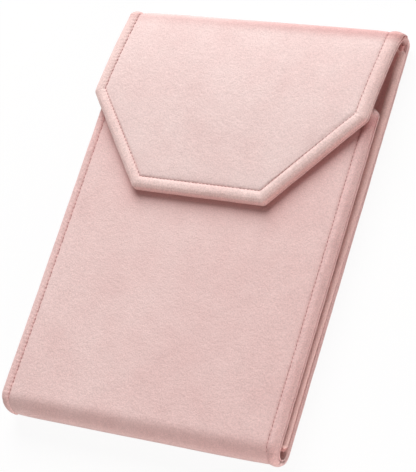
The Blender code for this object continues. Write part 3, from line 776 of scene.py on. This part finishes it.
def make_stitches(name, fold, corners, radius, width, share, material, seam_start=0.0):
    """Thread dashes along the seam, between the points where the thread pulls in."""
    path = stations(corners, radius, width)
    run = run_of(path)
    at = np.arange(STITCH_PITCH / 2, run[-1], STITCH_PITCH)
    at = at[np.interp(at, run, path[:, 1]) > seam_start]

    def along(shift, lift):
        x, t = (np.interp(at + shift, run, path[:, k]) for k in (0, 1))
        return place(fold, x, t, share, np.full_like(x, lift * facing(share)))
    sunk = STITCH_SUNK - GROOVE_DEPTH
    starts, centres, ends = (along(shift, sunk) for shift in (-STITCH_LENGTH / 2, 0, STITCH_LENGTH / 2))
    points, faces = [], []
    for a, centre, b, over in zip(starts, centres, ends, along(0, ABOVE_SEAM)):
        direction = (b - a) / np.linalg.norm(b - a)
        up = over - centre
        up = up - direction * (up @ direction)
        up /= np.linalg.norm(up)
        faces += sweep_faces(len(STITCH_RINGS), STITCH_SIDES, first=len(points))
        points += stitch_mesh(direction, up, centre)
    return new_mesh_object(name, points, faces, material)


# Materials

def new_material(name):
    material = bpy.data.materials.new(name)
    material.use_nodes = True
    tree = material.node_tree
    return material, tree, tree.nodes["Principled BSDF"]


def feed(tree, node, inputs):
    """Gives a node its inputs: a socket is linked, and any other sets its value."""
    for name, value in inputs.items():
        if isinstance(value, bpy.types.NodeSocket):
            tree.links.new(value, node.inputs[name])
        else:
            node.inputs[name].default_value = value


def add_node(tree, kind, output, inputs, **settings):
    """Adds a shader node and returns its output."""
    node = tree.nodes.new(f"ShaderNode{kind}")
    for name, value in settings.items():
        setattr(node, name, value)
    feed(tree, node, inputs)
    return node.outputs[output]


def attribute(tree, name, output):
    return add_node(tree, "Attribute", output, {}, attribute_name=name)


def graded_noise(tree, where, scale_detail_roughness, span, values):
    """Noise whose values inside the span are spread over the new values."""
    noise_value = plain_noise(tree, where, scale_detail_roughness)
    inputs = {"Value": noise_value, "From Min": span[0], "From Max": span[1],
              "To Min": values[0], "To Max": values[1]}
    return add_node(tree, "MapRange", "Result", inputs)


def plain_noise(tree, where, scale_detail_roughness):
    names = ("Scale", "Detail", "Roughness")
    return add_node(tree, "TexNoise", "Fac", {"Vector": where, **dict(zip(names, scale_detail_roughness))})


def math_node(tree, operation, a, b):
    return add_node(tree, "Math", "Value", {0: a, 1: b}, operation=operation)


def mixed(tree, factor, a, b):
    """Two colours or sockets, mixed by the factor."""
    a, b = ((*value, 1) if isinstance(value, tuple) else value for value in (a, b))
    return add_node(tree, "Mix", "Result", {"Factor": factor, "A": a, "B": b}, data_type="RGBA")


def bumped(tree, height, strength_distance, **under):
    strength, distance = strength_distance
    inputs = {"Strength": strength, "Distance": distance, "Height": height, **under}
    return add_node(tree, "Bump", "Normal", inputs)


def velvet_material(name, colour, deep=VELVET_DEEP, grain=0.14, sheen=0.30):
    """Short velvet: brushed patches, fine grain, and a soft sheen on its round edges."""
    material, tree, shader = new_material(name)
    where = attribute(tree, "rest_place", "Vector")
    patches = graded_noise(tree, where, MOTTLE_NOISE, PATCH_SPAN, (0.0, MOTTLE_DEPTH))
    base = mixed(tree, patches, colour, deep)
    # Darkens the colour towards the deep one by each point's painted shade
    base = mixed(tree, attribute(tree, "painted_shade", "Fac"), base, deep)
    blotch = graded_noise(tree, where, BLOTCH_NOISE, GRAIN_SPAN, BLOTCH_TONES)
    fine = graded_noise(tree, where, FINE_NOISE, GRAIN_SPAN, (1 - grain, 1 + grain * LIGHT_GRAIN_SHARE))
    speckle = math_node(tree, "MULTIPLY", blotch, fine)
    base = add_node(tree, "VectorMath", "Vector", {0: base, "Scale": speckle}, operation="SCALE")
    rough = bumped(tree, plain_noise(tree, where, PEBBLE_NOISE), PEBBLE_BUMP)
    feed(tree, shader, {
        "Base Color": base,
        "Normal": bumped(tree, plain_noise(tree, where, NAP_NOISE), NAP_BUMP, Normal=rough),
        "Roughness": 0.85,
        "Specular IOR Level": 0.15,
        "Sheen Weight": sheen,
        "Sheen Roughness": 0.45,
        "Sheen Tint": SHEEN_TINT,
    })
    return material


def plain_material(name, where, colour, dark_share, grain, reach, bump=None, marks=None, **looks):
    """One colour with darker grain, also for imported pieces, whose own place rides with them."""
    material, tree, shader = new_material(name)
    if where == "own":
        where = add_node(tree, "TexCoord", "Object", {})
    else:
        where = attribute(tree, where, "Vector")
    fibres = graded_noise(tree, where, grain, PATCH_SPAN, (0.0, reach))
    dark = tuple(c * dark_share for c in colour)
    feed(tree, shader, {"Base Color": mixed(tree, fibres, colour, dark), **looks})
    if bump:
        feed(tree, shader, {"Normal": bumped(tree, fibres, bump)})
    if marks:
        feed(tree, shader, {"Roughness": graded_noise(tree, where, marks, PATCH_SPAN, MARK_ROUGHNESS)})
    return material


def make_materials():
    return {
        "velvet": velvet_material("velvet", VELVET),
        "velvet_flap": velvet_material("velvet_flap", VELVET_FLAP),
        "binding": velvet_material("binding_velvet", BINDING, grain=0.20, sheen=0.50),
        "binding_flap": velvet_material("binding_flap_velvet", BINDING_FLAP, grain=0.20, sheen=0.50),
        "lining": velvet_material("lining_velvet", LINING, deep=LINING_DEEP, sheen=0.2),
        "pad": velvet_material("pad_velvet", PAD),
        "rim": velvet_material("rim_velvet", RIM),
        "elastic": plain_material("woven_elastic", "rest_place", ELASTIC, 0.8, WEAVE_NOISE, 1.0,
                                  WEAVE_BUMP, Roughness=0.6),
        "thread": plain_material("thread", "rest_place", THREAD, 0.7, TWIST_NOISE, 0.25,
                                 **{"Roughness": 0.55, "Sheen Weight": 0.1}),
        "board": plain_material("greyboard", "own", GREYBOARD, 0.75, FIBRE_NOISE, 1.0, FIBRE_BUMP,
                                Roughness=0.9),
        "metal": plain_material("rose_gold_metal", "own", GOLD, 0.8, WORN_NOISE, 0.3, marks=MARK_NOISE,
                                Metallic=1.0),
    }


# Painted shade and painted shadows, set by place

# Painted shade in the seam groove, deepest on the seam line
def seam_painted_shade(distance):
    return SEAM_PAINTED_SHADE * np.exp(-(np.abs(distance) / SEAM_PAINTED_SHADE_REACH) ** 2)


def soft_band(value, band):
    start, full_start, full_end, end = band
    return eased((value - start) / (full_start - start)) * eased((end - value) / (end - full_end))


def ramp(value, start, run):
    """0 at the start, 1 from the end of the run on."""
    return np.clip((value - start) / run, 0, 1)


def remember_rest(piece, painted_shade=None):
    """Stores each point's place at rest, and how deep the painted shade is there."""
    mesh = piece.data
    points = np.array([v.co for v in mesh.vertices])
    rest = mesh.attributes.new("rest_place", "FLOAT_VECTOR", "POINT")
    rest.data.foreach_set("vector", points.astype(np.float32).ravel())
    values = SEAM_PAINTED_SHADES.get(piece.name, 0) + (np.zeros(len(points)) if painted_shade is None else painted_shade(points))
    depth = mesh.attributes.new("painted_shade", "FLOAT", "POINT")
    depth.data.foreach_set("value", values.astype(np.float32))


def outside_flap(x, y):
    """How far a place lies outside the flap's outline in plan, below zero under the flap."""
    run = FLAP_SHOULDER_Y - FLAP_TIP
    narrowing = HALF_WIDTH - FLAP_TIP_HALF_WIDTH
    slanted = (np.abs(x) - FLAP_TIP_HALF_WIDTH) * run - (y - FLAP_TIP) * narrowing
    return np.maximum(FLAP_TIP - y, slanted / math.hypot(run, narrowing))


def front_painted_shade(points):
    """Painted shade where the cloth rolls over the bottom spine and towards the right side, a painted
    shadow just outside the flap's edge, and the painted shadow along the nose.
    """
    x, y, z = points.T
    fold = soft_band(y, FOLD_BAND)
    fold *= FOLD_LEFT_SHARE + (1 - FOLD_LEFT_SHARE) * ramp(x, -HALF_WIDTH, 2 * HALF_WIDTH)
    away = outside_flap(x, y)
    flap_shadow = soft_band(away, PAINTED_FLAP_SHADOW_BAND) * np.exp(-np.maximum(away, 0) / PAINTED_FLAP_SHADOW_REACH)
    flap_shadow = np.where(z > FRONT_LOW + PAINTED_FLAP_SHADOW_DEPTH, flap_shadow, 0)
    right = ramp(x, RIGHT_START_X, RIGHT_RUN)
    right *= RIGHT_TOP_SHARE + (1 - RIGHT_TOP_SHARE) * ramp(-y, 0, RIGHT_RUN)
    return FOLD_PAINTED_SHADE * fold + PAINTED_FLAP_SHADOW * flap_shadow + RIGHT_PAINTED_SHADE * right + nose_painted_shadow(points)


def nose_painted_shadow(points):
    """Painted shadow on the lowest part of the bottom spine, where it meets the table."""
    _, y, z = points.T
    low = 1 - ramp(z, NOSE_TONE_Z, NOSE_TONE_HEIGHT)
    return NOSE_PAINTED_SHADOW * low * (1 - ramp(y, NOSE_TONE_Y, NOSE_TONE_RUN))


def flap_painted_shade(points):
    """Painted shade on the flap: a pinker band along the fold at its root, darker towards the root and at
    its right side, and along its edge.
    """
    x, y, _ = points.T
    root = soft_band(y, ROOT_BAND)
    root *= ROOT_LEFT_SHARE + (1 - ROOT_LEFT_SHARE) * ramp(x, -ROOT_HALF_RUN, 2 * ROOT_HALF_RUN)
    slope = ramp(y, SLOPE_START_Y, SLOPE_RUN)
    side = ramp(x, SIDE_START_X, SIDE_RUN)
    return ROOT_PAINTED_SHADE * root + SLOPE_PAINTED_SHADE * slope + SIDE_PAINTED_SHADE * side + edge_painted_shade(x + FLAP_DRIFT, y)


def edge_painted_shade(x, y):
    """Painted shade on the outer side of the flap's edge, where it turns down to the front cover, left out
    on the flap's left part.
    """
    outer = soft_band(outside_flap(x, y), EDGE_BAND)
    return EDGE_PAINTED_SHADE * outer * ramp(x, EDGE_LEFT_X, EDGE_FADE)


# The covers

def front_corners(end_t):
    return [(-HALF_WIDTH, 0.0), (-HALF_WIDTH, end_t), (HALF_WIDTH, end_t), (HALF_WIDTH, 0.0)]


def flap_corners(quarter):
    def at(y):
        return quarter + BACK_END - y
    return [
        (-HALF_WIDTH, 0.0),
        (-HALF_WIDTH, at(FLAP_SHOULDER_Y)),
        (-FLAP_TIP_HALF_WIDTH, at(FLAP_TIP)),
        (FLAP_TIP_HALF_WIDTH, at(FLAP_TIP)),
        (HALF_WIDTH, at(FLAP_SHOULDER_Y)),
        (HALF_WIDTH, 0.0),
    ]


def move_points(piece, *moves):
    """Each move changes the x, y and z of all of the piece's points in place."""
    points = np.array([v.co for v in piece.data.vertices])
    for move in moves:
        move(*points.T)
    piece.data.vertices.foreach_set("co", points.astype(np.float32).ravel())
    piece.data.update()


def drift(x, y, z):
    """Moves a piece of the flap a little to the left below its root, as the flap hangs, lets it down
    on the front cover, and spreads its right edge at the root over the roll of the back cover."""
    gone = BACK_END - y
    z -= FLAP_SAG * eased(gone / FLAP_SAG_RUN)
    edge = np.maximum(0, (x - HALF_WIDTH) / COVER_BINDING_WIDTH + 1)
    x -= FLAP_DRIFT_ROOT + (FLAP_DRIFT - FLAP_DRIFT_ROOT) * eased(gone / FLAP_DRIFT_RUN)
    x += ROOT_SPREAD * edge * (1 - ramp(gone, 0, ROOT_SPREAD_RUN)) ** 2


def flare(x, y, _):
    """Lets the front cover's left side lean in a little from the bottom spine to its end."""
    up = ramp(y, BOTTOM_NOSE_Y, FRONT_END - BOTTOM_NOSE_Y)
    x += np.maximum(0, -x / HALF_WIDTH) * (FLARE_LOW + (FLARE_HIGH - FLARE_LOW) * up ** FLARE_POWER)


def round_nose(x, y, _):
    """Draws the left end of the bottom spine in, so that its corner is round in plan."""
    near = 1 - ramp(y, BOTTOM_NOSE_Y, NOSE_CORNER_RUN)
    share = np.maximum(0, -x / HALF_WIDTH) ** NOSE_CORNER_POWER
    x += NOSE_CORNER_DEPTH * share * (1 - np.sqrt(1 - near * near))


def make_cover(name, fold, corners, width, crown, bow, materials, tint, seed, seam_start=0.0):
    """Panel, lining, binding and both stitch lines of a cover with half of its spine."""
    panel = make_panel(f"{name}_panel", fold, corners, width, crown, bow, (1.0, PAD_BOTTOM_SHARE),
                       materials[f"velvet{tint}"], seed, seam_start)
    lining = make_panel(f"{name}_lining_panel", fold, corners, width, LINING_CROWN, 0.0,
                        (0.0, LINING_TOP_SHARE), materials["lining"], seed + 1, 0.0)
    seam = (fold, corners, CORNER_RADIUS, width)
    binding = make_binding(f"{name}_edge_binding", *seam, materials[f"binding{tint}"], seed + 2,
                           seam_start=seam_start)
    stitches = make_stitches(f"{name}_stitches", *seam, 1.0, materials["thread"], seam_start)
    inner = make_stitches(f"{name}_inner_stitches", *seam, 0.0, materials["thread"])
    return panel, lining, binding, stitches, inner


def dress_front(materials):
    """The front cover with the upper half of the bottom spine."""
    fold, quarter = bottom_fold(FRONT_TOP, FRONT_LOW, FRONT_END)
    corners = front_corners(fold["t"][-1])
    pieces = make_cover("front", fold, corners, COVER_BINDING_WIDTH, FRONT_CROWN, FRONT_BOW,
                        materials, "", 1, quarter * SEAM_START_SHARE)
    panel, lining, binding = pieces[:3]
    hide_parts("front_skin", "front_foam", "bottom_spine_skin")
    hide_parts("front_lining")
    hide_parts("front_binding")
    for piece in pieces:
        move_points(piece, flare, round_nose)
        remember_rest(piece, front_painted_shade if piece in (panel, binding) else None)
        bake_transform(piece)


def dress_flap(materials):
    """The flap with the upper half of the top spine."""
    fold, quarter = top_fold(FLAP_ROOT_TOP, FLAP_ROOT_LOW, FLAP_TIP, flap_rise)
    pieces = make_cover("flap", fold, flap_corners(quarter), FLAP_BINDING_WIDTH, FLAP_CROWN, 0.0,
                        materials, "_flap", 4)
    panel, lining, binding = pieces[:3]
    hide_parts("flap_skin", "flap_foam", "top_spine_skin")
    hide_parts("flap_lining")
    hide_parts("flap_binding")
    for piece in pieces:
        move_points(piece, drift)
        remember_rest(piece, flap_painted_shade if piece in (panel, binding) else None)
        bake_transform(piece)


def make_strip_panel(name, fold, crown, shares, material):
    """A panel between two straight side bindings, cut square at its far end."""
    rows = graded(0.0, fold["t"][-1], edge_start=False, edge_end=False)
    seam_x = HALF_WIDTH - COVER_BINDING_WIDTH
    limit = seam_x + UNDER_BINDING
    x, t = np.meshgrid(graded(-limit, limit), rows)
    distance = seam_x - np.abs(x)
    lift = panel_lift(distance, t, crown, 1)
    return panel_object(name, fold, x, t, lift, shares, material, seam_painted_shade(distance))


def dress_back(half, fold, hidden, materials, seed):
    """Half of the back cover with half of a spine, up to the middle of the back."""
    end_t = fold["t"][-1]
    panel = make_strip_panel(f"back_panel_{half}", fold, BACK_CROWN, (1.0, BACK_PAD_BOTTOM_SHARE),
                             materials["velvet"])
    lining = make_strip_panel(f"back_lining_{half}", fold, 0.0, (0.0, LINING_TOP_SHARE),
                              materials["lining"])
    pieces = [panel, lining]
    for side, corners in (("left", [(-HALF_WIDTH, 0.0), (-HALF_WIDTH, end_t)]),
                          ("right", [(HALF_WIDTH, end_t), (HALF_WIDTH, 0.0)])):
        seam = (fold, corners, 0.0, COVER_BINDING_WIDTH)
        pieces.append(make_binding(f"back_binding_{half}_{side}", *seam, materials["binding"], seed,
                                   proud=BACK_ROLL_PROUD))
        pieces.append(make_stitches(f"back_stitches_{half}_{side}", *seam, 1.0, materials["thread"]))
    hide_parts(*hidden["panel"])
    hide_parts(*hidden["lining"])
    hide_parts(*hidden["left"])
    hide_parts(*hidden["right"])
    for piece in pieces:
        move_points(piece, round_nose)
        remember_rest(piece, nose_painted_shadow)
        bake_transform(piece)


def dress_backs(materials):
    low_fold, _ = bottom_fold(0.0, BACK_TOP, 0.0)
    high_fold, _ = top_fold(0.0, BACK_TOP, 0.0, None)
    dress_back("low", low_fold,
               {"panel": ["back_skin", "bottom_spine_core"],
                "lining": ["back_lining", "bottom_spine_lining"],
                "left": ["back_binding_left", "bottom_spine_binding_left"],
                "right": ["back_binding_right", "bottom_spine_binding_right"]}, materials, 12)
    dress_back("high", high_fold,
               {"panel": ["top_spine_core"],
                "lining": ["top_spine_lining"],
                "left": ["top_spine_binding_left"],
                "right": ["top_spine_binding_right"]}, materials, 22)


# Pieces inside

def rounded_places(start, end, radius):
    """Places from start to end, with a quarter circle's spacing at both ends."""
    angle = np.linspace(0, math.pi / 2, PLATE_ROUND_STEPS + 1)
    edge = radius * (1 - np.cos(angle))
    return np.concatenate([start + edge, graded(start + radius, end - radius)[1:-1], (end - edge)[::-1]])


def roundness(distance, radius):
    gone = np.clip(distance / radius, 0, 1)
    return np.sqrt(np.maximum(1 - (1 - gone) ** 2, 0))


def soft_plate(name, low, high, radius, material, lift):
    """A soft flat piece with round edges that fills a box; lift(x, y) moves its upper face."""
    x, y = np.meshgrid(rounded_places(low.x, high.x, radius), rounded_places(low.y, high.y, radius))
    full = roundness(np.minimum(x - low.x, high.x - x), radius)
    full *= roundness(np.minimum(y - low.y, high.y - y), radius)
    middle, half = (low.z + high.z) / 2, (high.z - low.z) / 2
    top = np.stack([x, y, middle + half * full + lift(x, y) * full], -1)
    bottom = np.stack([x, y, middle - half * full], -1)
    return new_mesh_object(name, *closed_pad(top, bottom), material)


def finish_inside(piece, body, node):
    remember_rest(piece)
    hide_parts(node)
    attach(piece, body)


def dress_inner_panel(materials):
    low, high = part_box("inner_panel")

    def lift(x, y):
        edge = np.minimum(np.minimum(x - low.x, high.x - x), np.minimum(y - low.y, high.y - y))
        inside = np.abs(edge - PANEL_SEAM_INSET)
        groove = PANEL_GROOVE_DEPTH * np.exp(-(inside / GROOVE_REACH) ** 2)
        return -groove - pucker(inside, x + y) * PANEL_PUCKER_SHARE
    piece = soft_plate("inner_panel_pad", low, high, PANEL_EDGE_RADIUS, materials["pad"], lift)
    finish_inside(piece, "back_cover", "inner_panel")


def rim_share(y):
    return ramp(y, RIM_LOW_Y, RIM_HIGH_Y - RIM_LOW_Y)


def rim_path():
    """Up the left side of the padded panel, across its upper end and down the right side."""
    low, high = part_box("inner_panel")
    low_y, high_y = low.y + RIM_END_GAP, high.y - RIM_TOP_GAP
    path = stations([(-RIM_X, low_y), (-RIM_X, high_y), (RIM_X, high_y), (RIM_X, low_y)],
                    RIM_CORNER_RADIUS, 0.0)
    path[:, 0] *= 1 + RIM_SPREAD / RIM_X * rim_share(path[:, 1])
    return path


def dress_rim(materials):
    """The piped rim of the inner panel. It sinks towards the top, where less is packed under the flap."""
    path = rim_path()
    run = run_of(path)
    heading = unit_rows(np.gradient(path, run, axis=0))
    share = rim_share(path[:, 1])
    height = RIM_LOW_Z + (RIM_HIGH_Z - RIM_LOW_Z) * share
    size = RIM_RADIUS + (RIM_RADIUS_HIGH - RIM_RADIUS) * share
    size *= np.clip(np.minimum(run, run[-1] - run) / RIM_TAPER, RIM_END_SHARE, 1) ** 0.5
    angle = np.linspace(0, 2 * math.pi, RIM_SIDES, endpoint=False)
    across = size[:, None] * np.cos(angle)
    sections = np.stack([
        path[:, :1] + heading[:, 1:] * across,
        path[:, 1:] - heading[:, :1] * across,
        height[:, None] + size[:, None] * np.sin(angle),
    ], -1)
    wave = waves(sections, ROLL_WAVE_LENGTH, 51) * ROLL_WAVE
    sections[..., 2] += wave * (size / RIM_RADIUS)[:, None]
    piece = new_mesh_object("inner_panel_rim", *closed_sweep(sections), materials["rim"], "pad")
    remember_rest(piece)
    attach(piece, "back_cover")


def dress_pocket(name, node, body, materials):
    """A pocket of thin velvet that ripples a little towards its mouth."""
    low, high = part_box(node)

    def lift(x, y):
        towards = ((y - low.y) / (high.y - low.y)) ** 2
        return POCKET_RIPPLE * towards * np.sin(2 * math.pi * x / POCKET_RIPPLE_LENGTH)
    piece = soft_plate(name, low, high, POCKET_EDGE_RADIUS, materials["lining"], lift)
    finish_inside(piece, body, node)


def dress_band(name, node, body, materials):
    """A woven elastic band, ribbed across its length."""
    low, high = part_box(node)

    def lift(x, _):
        return RIB_HEIGHT * np.sin(2 * math.pi * x / RIB_PITCH)
    radius = min(BAND_EDGE_RADIUS, (high.z - low.z) / 2)
    piece = soft_plate(name, low, high, radius, materials["elastic"], lift)
    finish_inside(piece, body, node)


def flat_fold(low, high):
    t = np.linspace(low.y, high.y, FOLD_STEPS)
    outer = np.stack([t, np.full_like(t, high.z)], 1)
    inner = np.stack([t, np.full_like(t, low.z)], 1)
    return make_fold(t, outer, inner)


def dress_leaf(materials):
    """The earring leaf: a stiff velvet sheet with paired holes, bound round its edge."""
    low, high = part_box("leaf_binding")
    corners = [(0.0, low.y), (low.x, low.y), (low.x, high.y),
               (high.x, high.y), (high.x, low.y), (0.0, low.y)]
    binding = make_binding("leaf_edge_binding", flat_fold(low, high), corners, LEAF_CORNER_RADIUS,
                           LEAF_BINDING_WIDTH, materials["binding"], 31, size=LEAF_ROLL_SIZE)
    finish_inside(binding, "earring_leaf", "leaf_binding")
    panel = perforated_sheet("leaf_sheet", low, high, materials["velvet"])
    finish_inside(panel, "earring_leaf", "leaf_panel")


def hole_places(low, high):
    middle_y = (low.y + high.y) / 2
    xs = []
    for column in range(EARRING_COLUMNS):
        x = (column - (EARRING_COLUMNS - 1) / 2) * EARRING_COLUMN_PITCH
        xs += [x - EARRING_PAIR_SPACING / 2, x + EARRING_PAIR_SPACING / 2]
    ys = [middle_y + (row - (EARRING_ROWS - 1) / 2) * EARRING_ROW_PITCH for row in range(EARRING_ROWS)]
    return xs, ys


def cut_lines(start, end, centres):
    """Grid lines that box in each centre, and the cells that hold one."""
    lines = [start]
    cells = []
    for centre in centres:
        gap = np.linspace(lines[-1], centre - HOLE_CELL, 4)[1:]
        lines += list(gap)
        cells.append(len(lines) - 1)
        lines.append(centre + HOLE_CELL)
    lines += list(np.linspace(lines[-1], end, 4)[1:])
    return np.array(lines), cells


def perforated_sheet(name, low, high, material):
    inset = LEAF_BINDING_WIDTH - UNDER_BINDING
    hole_xs, hole_ys = hole_places(low, high)
    xs, hole_columns = cut_lines(low.x + inset, high.x - inset, hole_xs)
    ys, hole_rows = cut_lines(low.y + inset, high.y - inset, hole_ys)
    x, y = np.meshgrid(xs, ys)
    points = []
    for z in (high.z - LEAF_FACE_SUNK, low.z + LEAF_FACE_SUNK):
        points += list(np.stack([x, y, np.full_like(x, z)], -1).reshape(-1, 3))
    faces = []
    columns = len(xs)
    for r in range(len(ys) - 1):
        for c in range(columns - 1):
            a = r * columns + c
            cell = (a, a + 1, a + columns + 1, a + columns)
            if r in hole_rows and c in hole_columns:
                add_hole(points, faces, cell, x.size)
            else:
                faces.append(cell)
                faces.append(tuple(k + x.size for k in cell[::-1]))
    faces += border_faces(len(ys), columns)
    return new_mesh_object(name, points, outward(np.array(points), faces), material)


def add_hole(points, faces, cell, count):
    """Cuts a round hole with a rolled rim into one cell of both faces."""
    centre = (points[cell[0]] + points[cell[2]]) / 2
    low_z = points[cell[0] + count][2]
    rings = []
    profile = [(rim, centre[2] - drop) for rim, drop in HOLE_PROFILE]
    profile += [(rim, low_z + drop) for rim, drop in HOLE_PROFILE[::-1]]
    for rim, z in profile:
        radius = EARRING_HOLE_RADIUS + HOLE_RIM * rim
        rings.append(len(points))
        for k in range(HOLE_STEPS):
            angle = 2 * math.pi * (k + 0.5) / HOLE_STEPS - math.pi * 0.75
            x, y = centre[0] + radius * math.cos(angle), centre[1] + radius * math.sin(angle)
            points.append(np.array([x, y, z]))
    for a, b in zip(rings[:-1], rings[1:]):
        for k in range(HOLE_STEPS):
            n = (k + 1) % HOLE_STEPS
            faces.append((a + k, b + k, b + n, a + n))
    for side in range(4):
        faces += hole_fans(cell, side, rings[0])
        faces += [fan[::-1] for fan in hole_fans([k + count for k in cell], side, rings[-1])]


def hole_fans(cell, side, ring):
    """Triangles between one side of a cell and its quarter of the hole's ring."""
    quarter = HOLE_STEPS // 4
    end = side * quarter + quarter // 2
    corner = cell[side]
    steps = range(end - quarter, end)
    fans = [(corner, ring + (k + 1) % HOLE_STEPS, ring + k % HOLE_STEPS) for k in steps]
    return fans + [(corner, cell[(side + 1) % 4], ring + end % HOLE_STEPS)]


def dress_ring_bar(materials):
    """The padded roll that rings slide on, with its wrinkled cover."""
    low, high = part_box("ring_bar_roll")
    middle = (low + high) / 2
    radius = (high.z - low.z) / 2
    turn = np.linspace(0, math.pi, BAR_RINGS)
    x = low.x + (high.x - low.x) * (0.5 - 0.5 * np.cos(turn) * (1 - BAR_RING_SPREAD * np.sin(turn)))
    gone = np.clip(np.minimum(x - low.x, high.x - x) / (radius * BAR_END_SHARE), 0, 1)
    size = radius * np.sqrt(np.clip(1 - (1 - gone) ** 2, BAR_END_CLOSED, 1))
    angle = np.linspace(0, 2 * math.pi, BAR_SIDES, endpoint=False)
    sections = np.zeros((BAR_RINGS, BAR_SIDES, 3))
    sections[..., 0] = x[:, None]
    sections[..., 1] = middle.y + size[:, None] * np.cos(angle)
    sections[..., 2] = middle.z + size[:, None] * np.sin(angle)
    wrinkle = waves(sections * (BAR_WRINKLE_STRETCH, 1.0, 1.0), BAR_WRINKLE_LENGTH, 41) - BAR_WRINKLE_SUNK
    share = (size / radius)[:, None] * wrinkle * BAR_WRINKLE / radius
    for axis in (1, 2):
        sections[..., axis] += (sections[..., axis] - middle[axis]) * share
    piece = new_mesh_object("ring_bar_cover", *closed_sweep(sections), materials["velvet"])
    finish_inside(piece, "ring_bar", "ring_bar_roll")


def dress_inside(materials):
    dress_inner_panel(materials)
    dress_rim(materials)
    dress_pocket("chain_pocket_cloth", "chain_pocket", "back_cover", materials)
    dress_pocket("slip_pocket_cloth", "front_slip_pocket", "front_cover", materials)
    dress_band("chain_pocket_elastic", "chain_pocket_hem", "back_cover", materials)
    dress_band("leaf_tape_band", "leaf_tape", "back_cover", materials)
    dress_band("ring_bar_anchor_band", "ring_bar_anchor", "back_cover", materials)
    dress_band("ring_bar_tab_band", "ring_bar_tab", "ring_bar", materials)
    dress_leaf(materials)
    dress_ring_bar(materials)


def dress_hard_pieces(materials):
    finishes = {
        "board": ("front_board", "back_board", "flap_board"),
        "metal": ("front_snap_stud", "flap_snap_socket", "ring_bar_stud", "ring_bar_socket"),
    }
    for finish, nodes in finishes.items():
        for node in nodes:
            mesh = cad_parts[node].data
            mesh.materials.clear()
            mesh.materials.append(materials[finish])


# Camera, light and floor

def make_camera():
    back = Vector(CAMERA_BACK).normalized()
    right = Vector(CAMERA_RIGHT)
    right = (right - back * right.dot(back)).normalized()
    up = back.cross(right)
    data = bpy.data.cameras.new("camera")
    data.lens = CAMERA_LENS_MM
    data.sensor_width = CAMERA_SENSOR_MM
    data.clip_start = CAMERA_CLIP_START
    camera = bpy.data.objects.new("camera", data)
    turned = Matrix((right, up, back)).transposed().to_4x4()
    camera.matrix_world = Matrix.Translation(CAMERA_PLACE) @ turned
    bpy.context.scene.collection.objects.link(camera)
    bpy.context.scene.camera = camera


def make_area_light(name, direction, distance, size, power, colour):
    target = Vector(LIGHT_TARGET)
    data = bpy.data.lights.new(name, "AREA")
    data.shape = "DISK"
    data.size = size
    data.energy = power
    data.color = colour
    light = bpy.data.objects.new(name, data)
    light.location = target + Vector(direction).normalized() * distance
    light.rotation_mode = "QUATERNION"
    light.rotation_quaternion = (target - light.location).to_track_quat("-Z", "Y")
    bpy.context.scene.collection.objects.link(light)


def seen_by(tree, ray):
    return add_node(tree, "LightPath", f"Is {ray} Ray", {})


def seen_white(tree, shader, share):
    """The shader, with an even white added for what the camera, gloss and glass see."""
    seen = math_node(tree, "MAXIMUM", seen_by(tree, "Camera"), seen_by(tree, "Glossy"))
    seen = math_node(tree, "MAXIMUM", seen, seen_by(tree, "Transmission"))
    part = math_node(tree, "MULTIPLY", seen, share)
    glow = add_node(tree, "Emission", 0, {"Color": WHITE, "Strength": 1.0})
    return add_node(tree, "MixShader", 0, {0: part, 1: shader, 2: glow})


def make_floor():
    material, tree, shader = new_material("floor_white")
    looks = {"Base Color": FLOOR_COLOUR, "Roughness": FLOOR_ROUGHNESS, "Specular IOR Level": 0.0}
    feed(tree, shader, looks)
    surface = seen_white(tree, shader.outputs[0], FLOOR_GLOW_SHARE)
    feed(tree, tree.nodes["Material Output"], {"Surface": surface})
    corners = [(-1, -1), (1, -1), (1, 1), (-1, 1)]
    points = [(x * FLOOR_REACH, y * FLOOR_REACH, FLOOR_Z) for x, y in corners]
    floor = new_mesh_object("floor", points, [(0, 1, 2, 3)], material)


def make_world():
    world = bpy.data.worlds.new("studio")
    bpy.context.scene.world = world
    world.use_nodes = True
    tree = world.node_tree
    background = tree.nodes["Background"]
    feed(tree, background, {"Color": WORLD_COLOUR, "Strength": WORLD_STRENGTH})
    white = add_node(tree, "Background", 0, {"Color": WHITE, "Strength": 1.0})
    inputs = {0: seen_by(tree, "Camera"), 1: background.outputs[0], 2: white}
    surface = add_node(tree, "MixShader", 0, inputs)
    feed(tree, tree.nodes["World Output"], {"Surface": surface})


def light_scene():
    """A key light from the upper left and a broad fill from the lower right."""
    make_area_light("key_light", KEY_FROM, KEY_DISTANCE, KEY_SIZE, KEY_POWER, KEY_COLOUR)
    make_area_light("fill_light", FILL_FROM, FILL_DISTANCE, FILL_SIZE, FILL_POWER, FILL_COLOUR)


def main():
    materials = make_materials()
    dress_front(materials)
    dress_flap(materials)
    dress_backs(materials)
    dress_inside(materials)
    dress_hard_pieces(materials)
    make_camera()
    light_scene()
    make_floor()
    make_world()
    scene = bpy.context.scene
    scene.view_settings.view_transform = "Standard"


main()
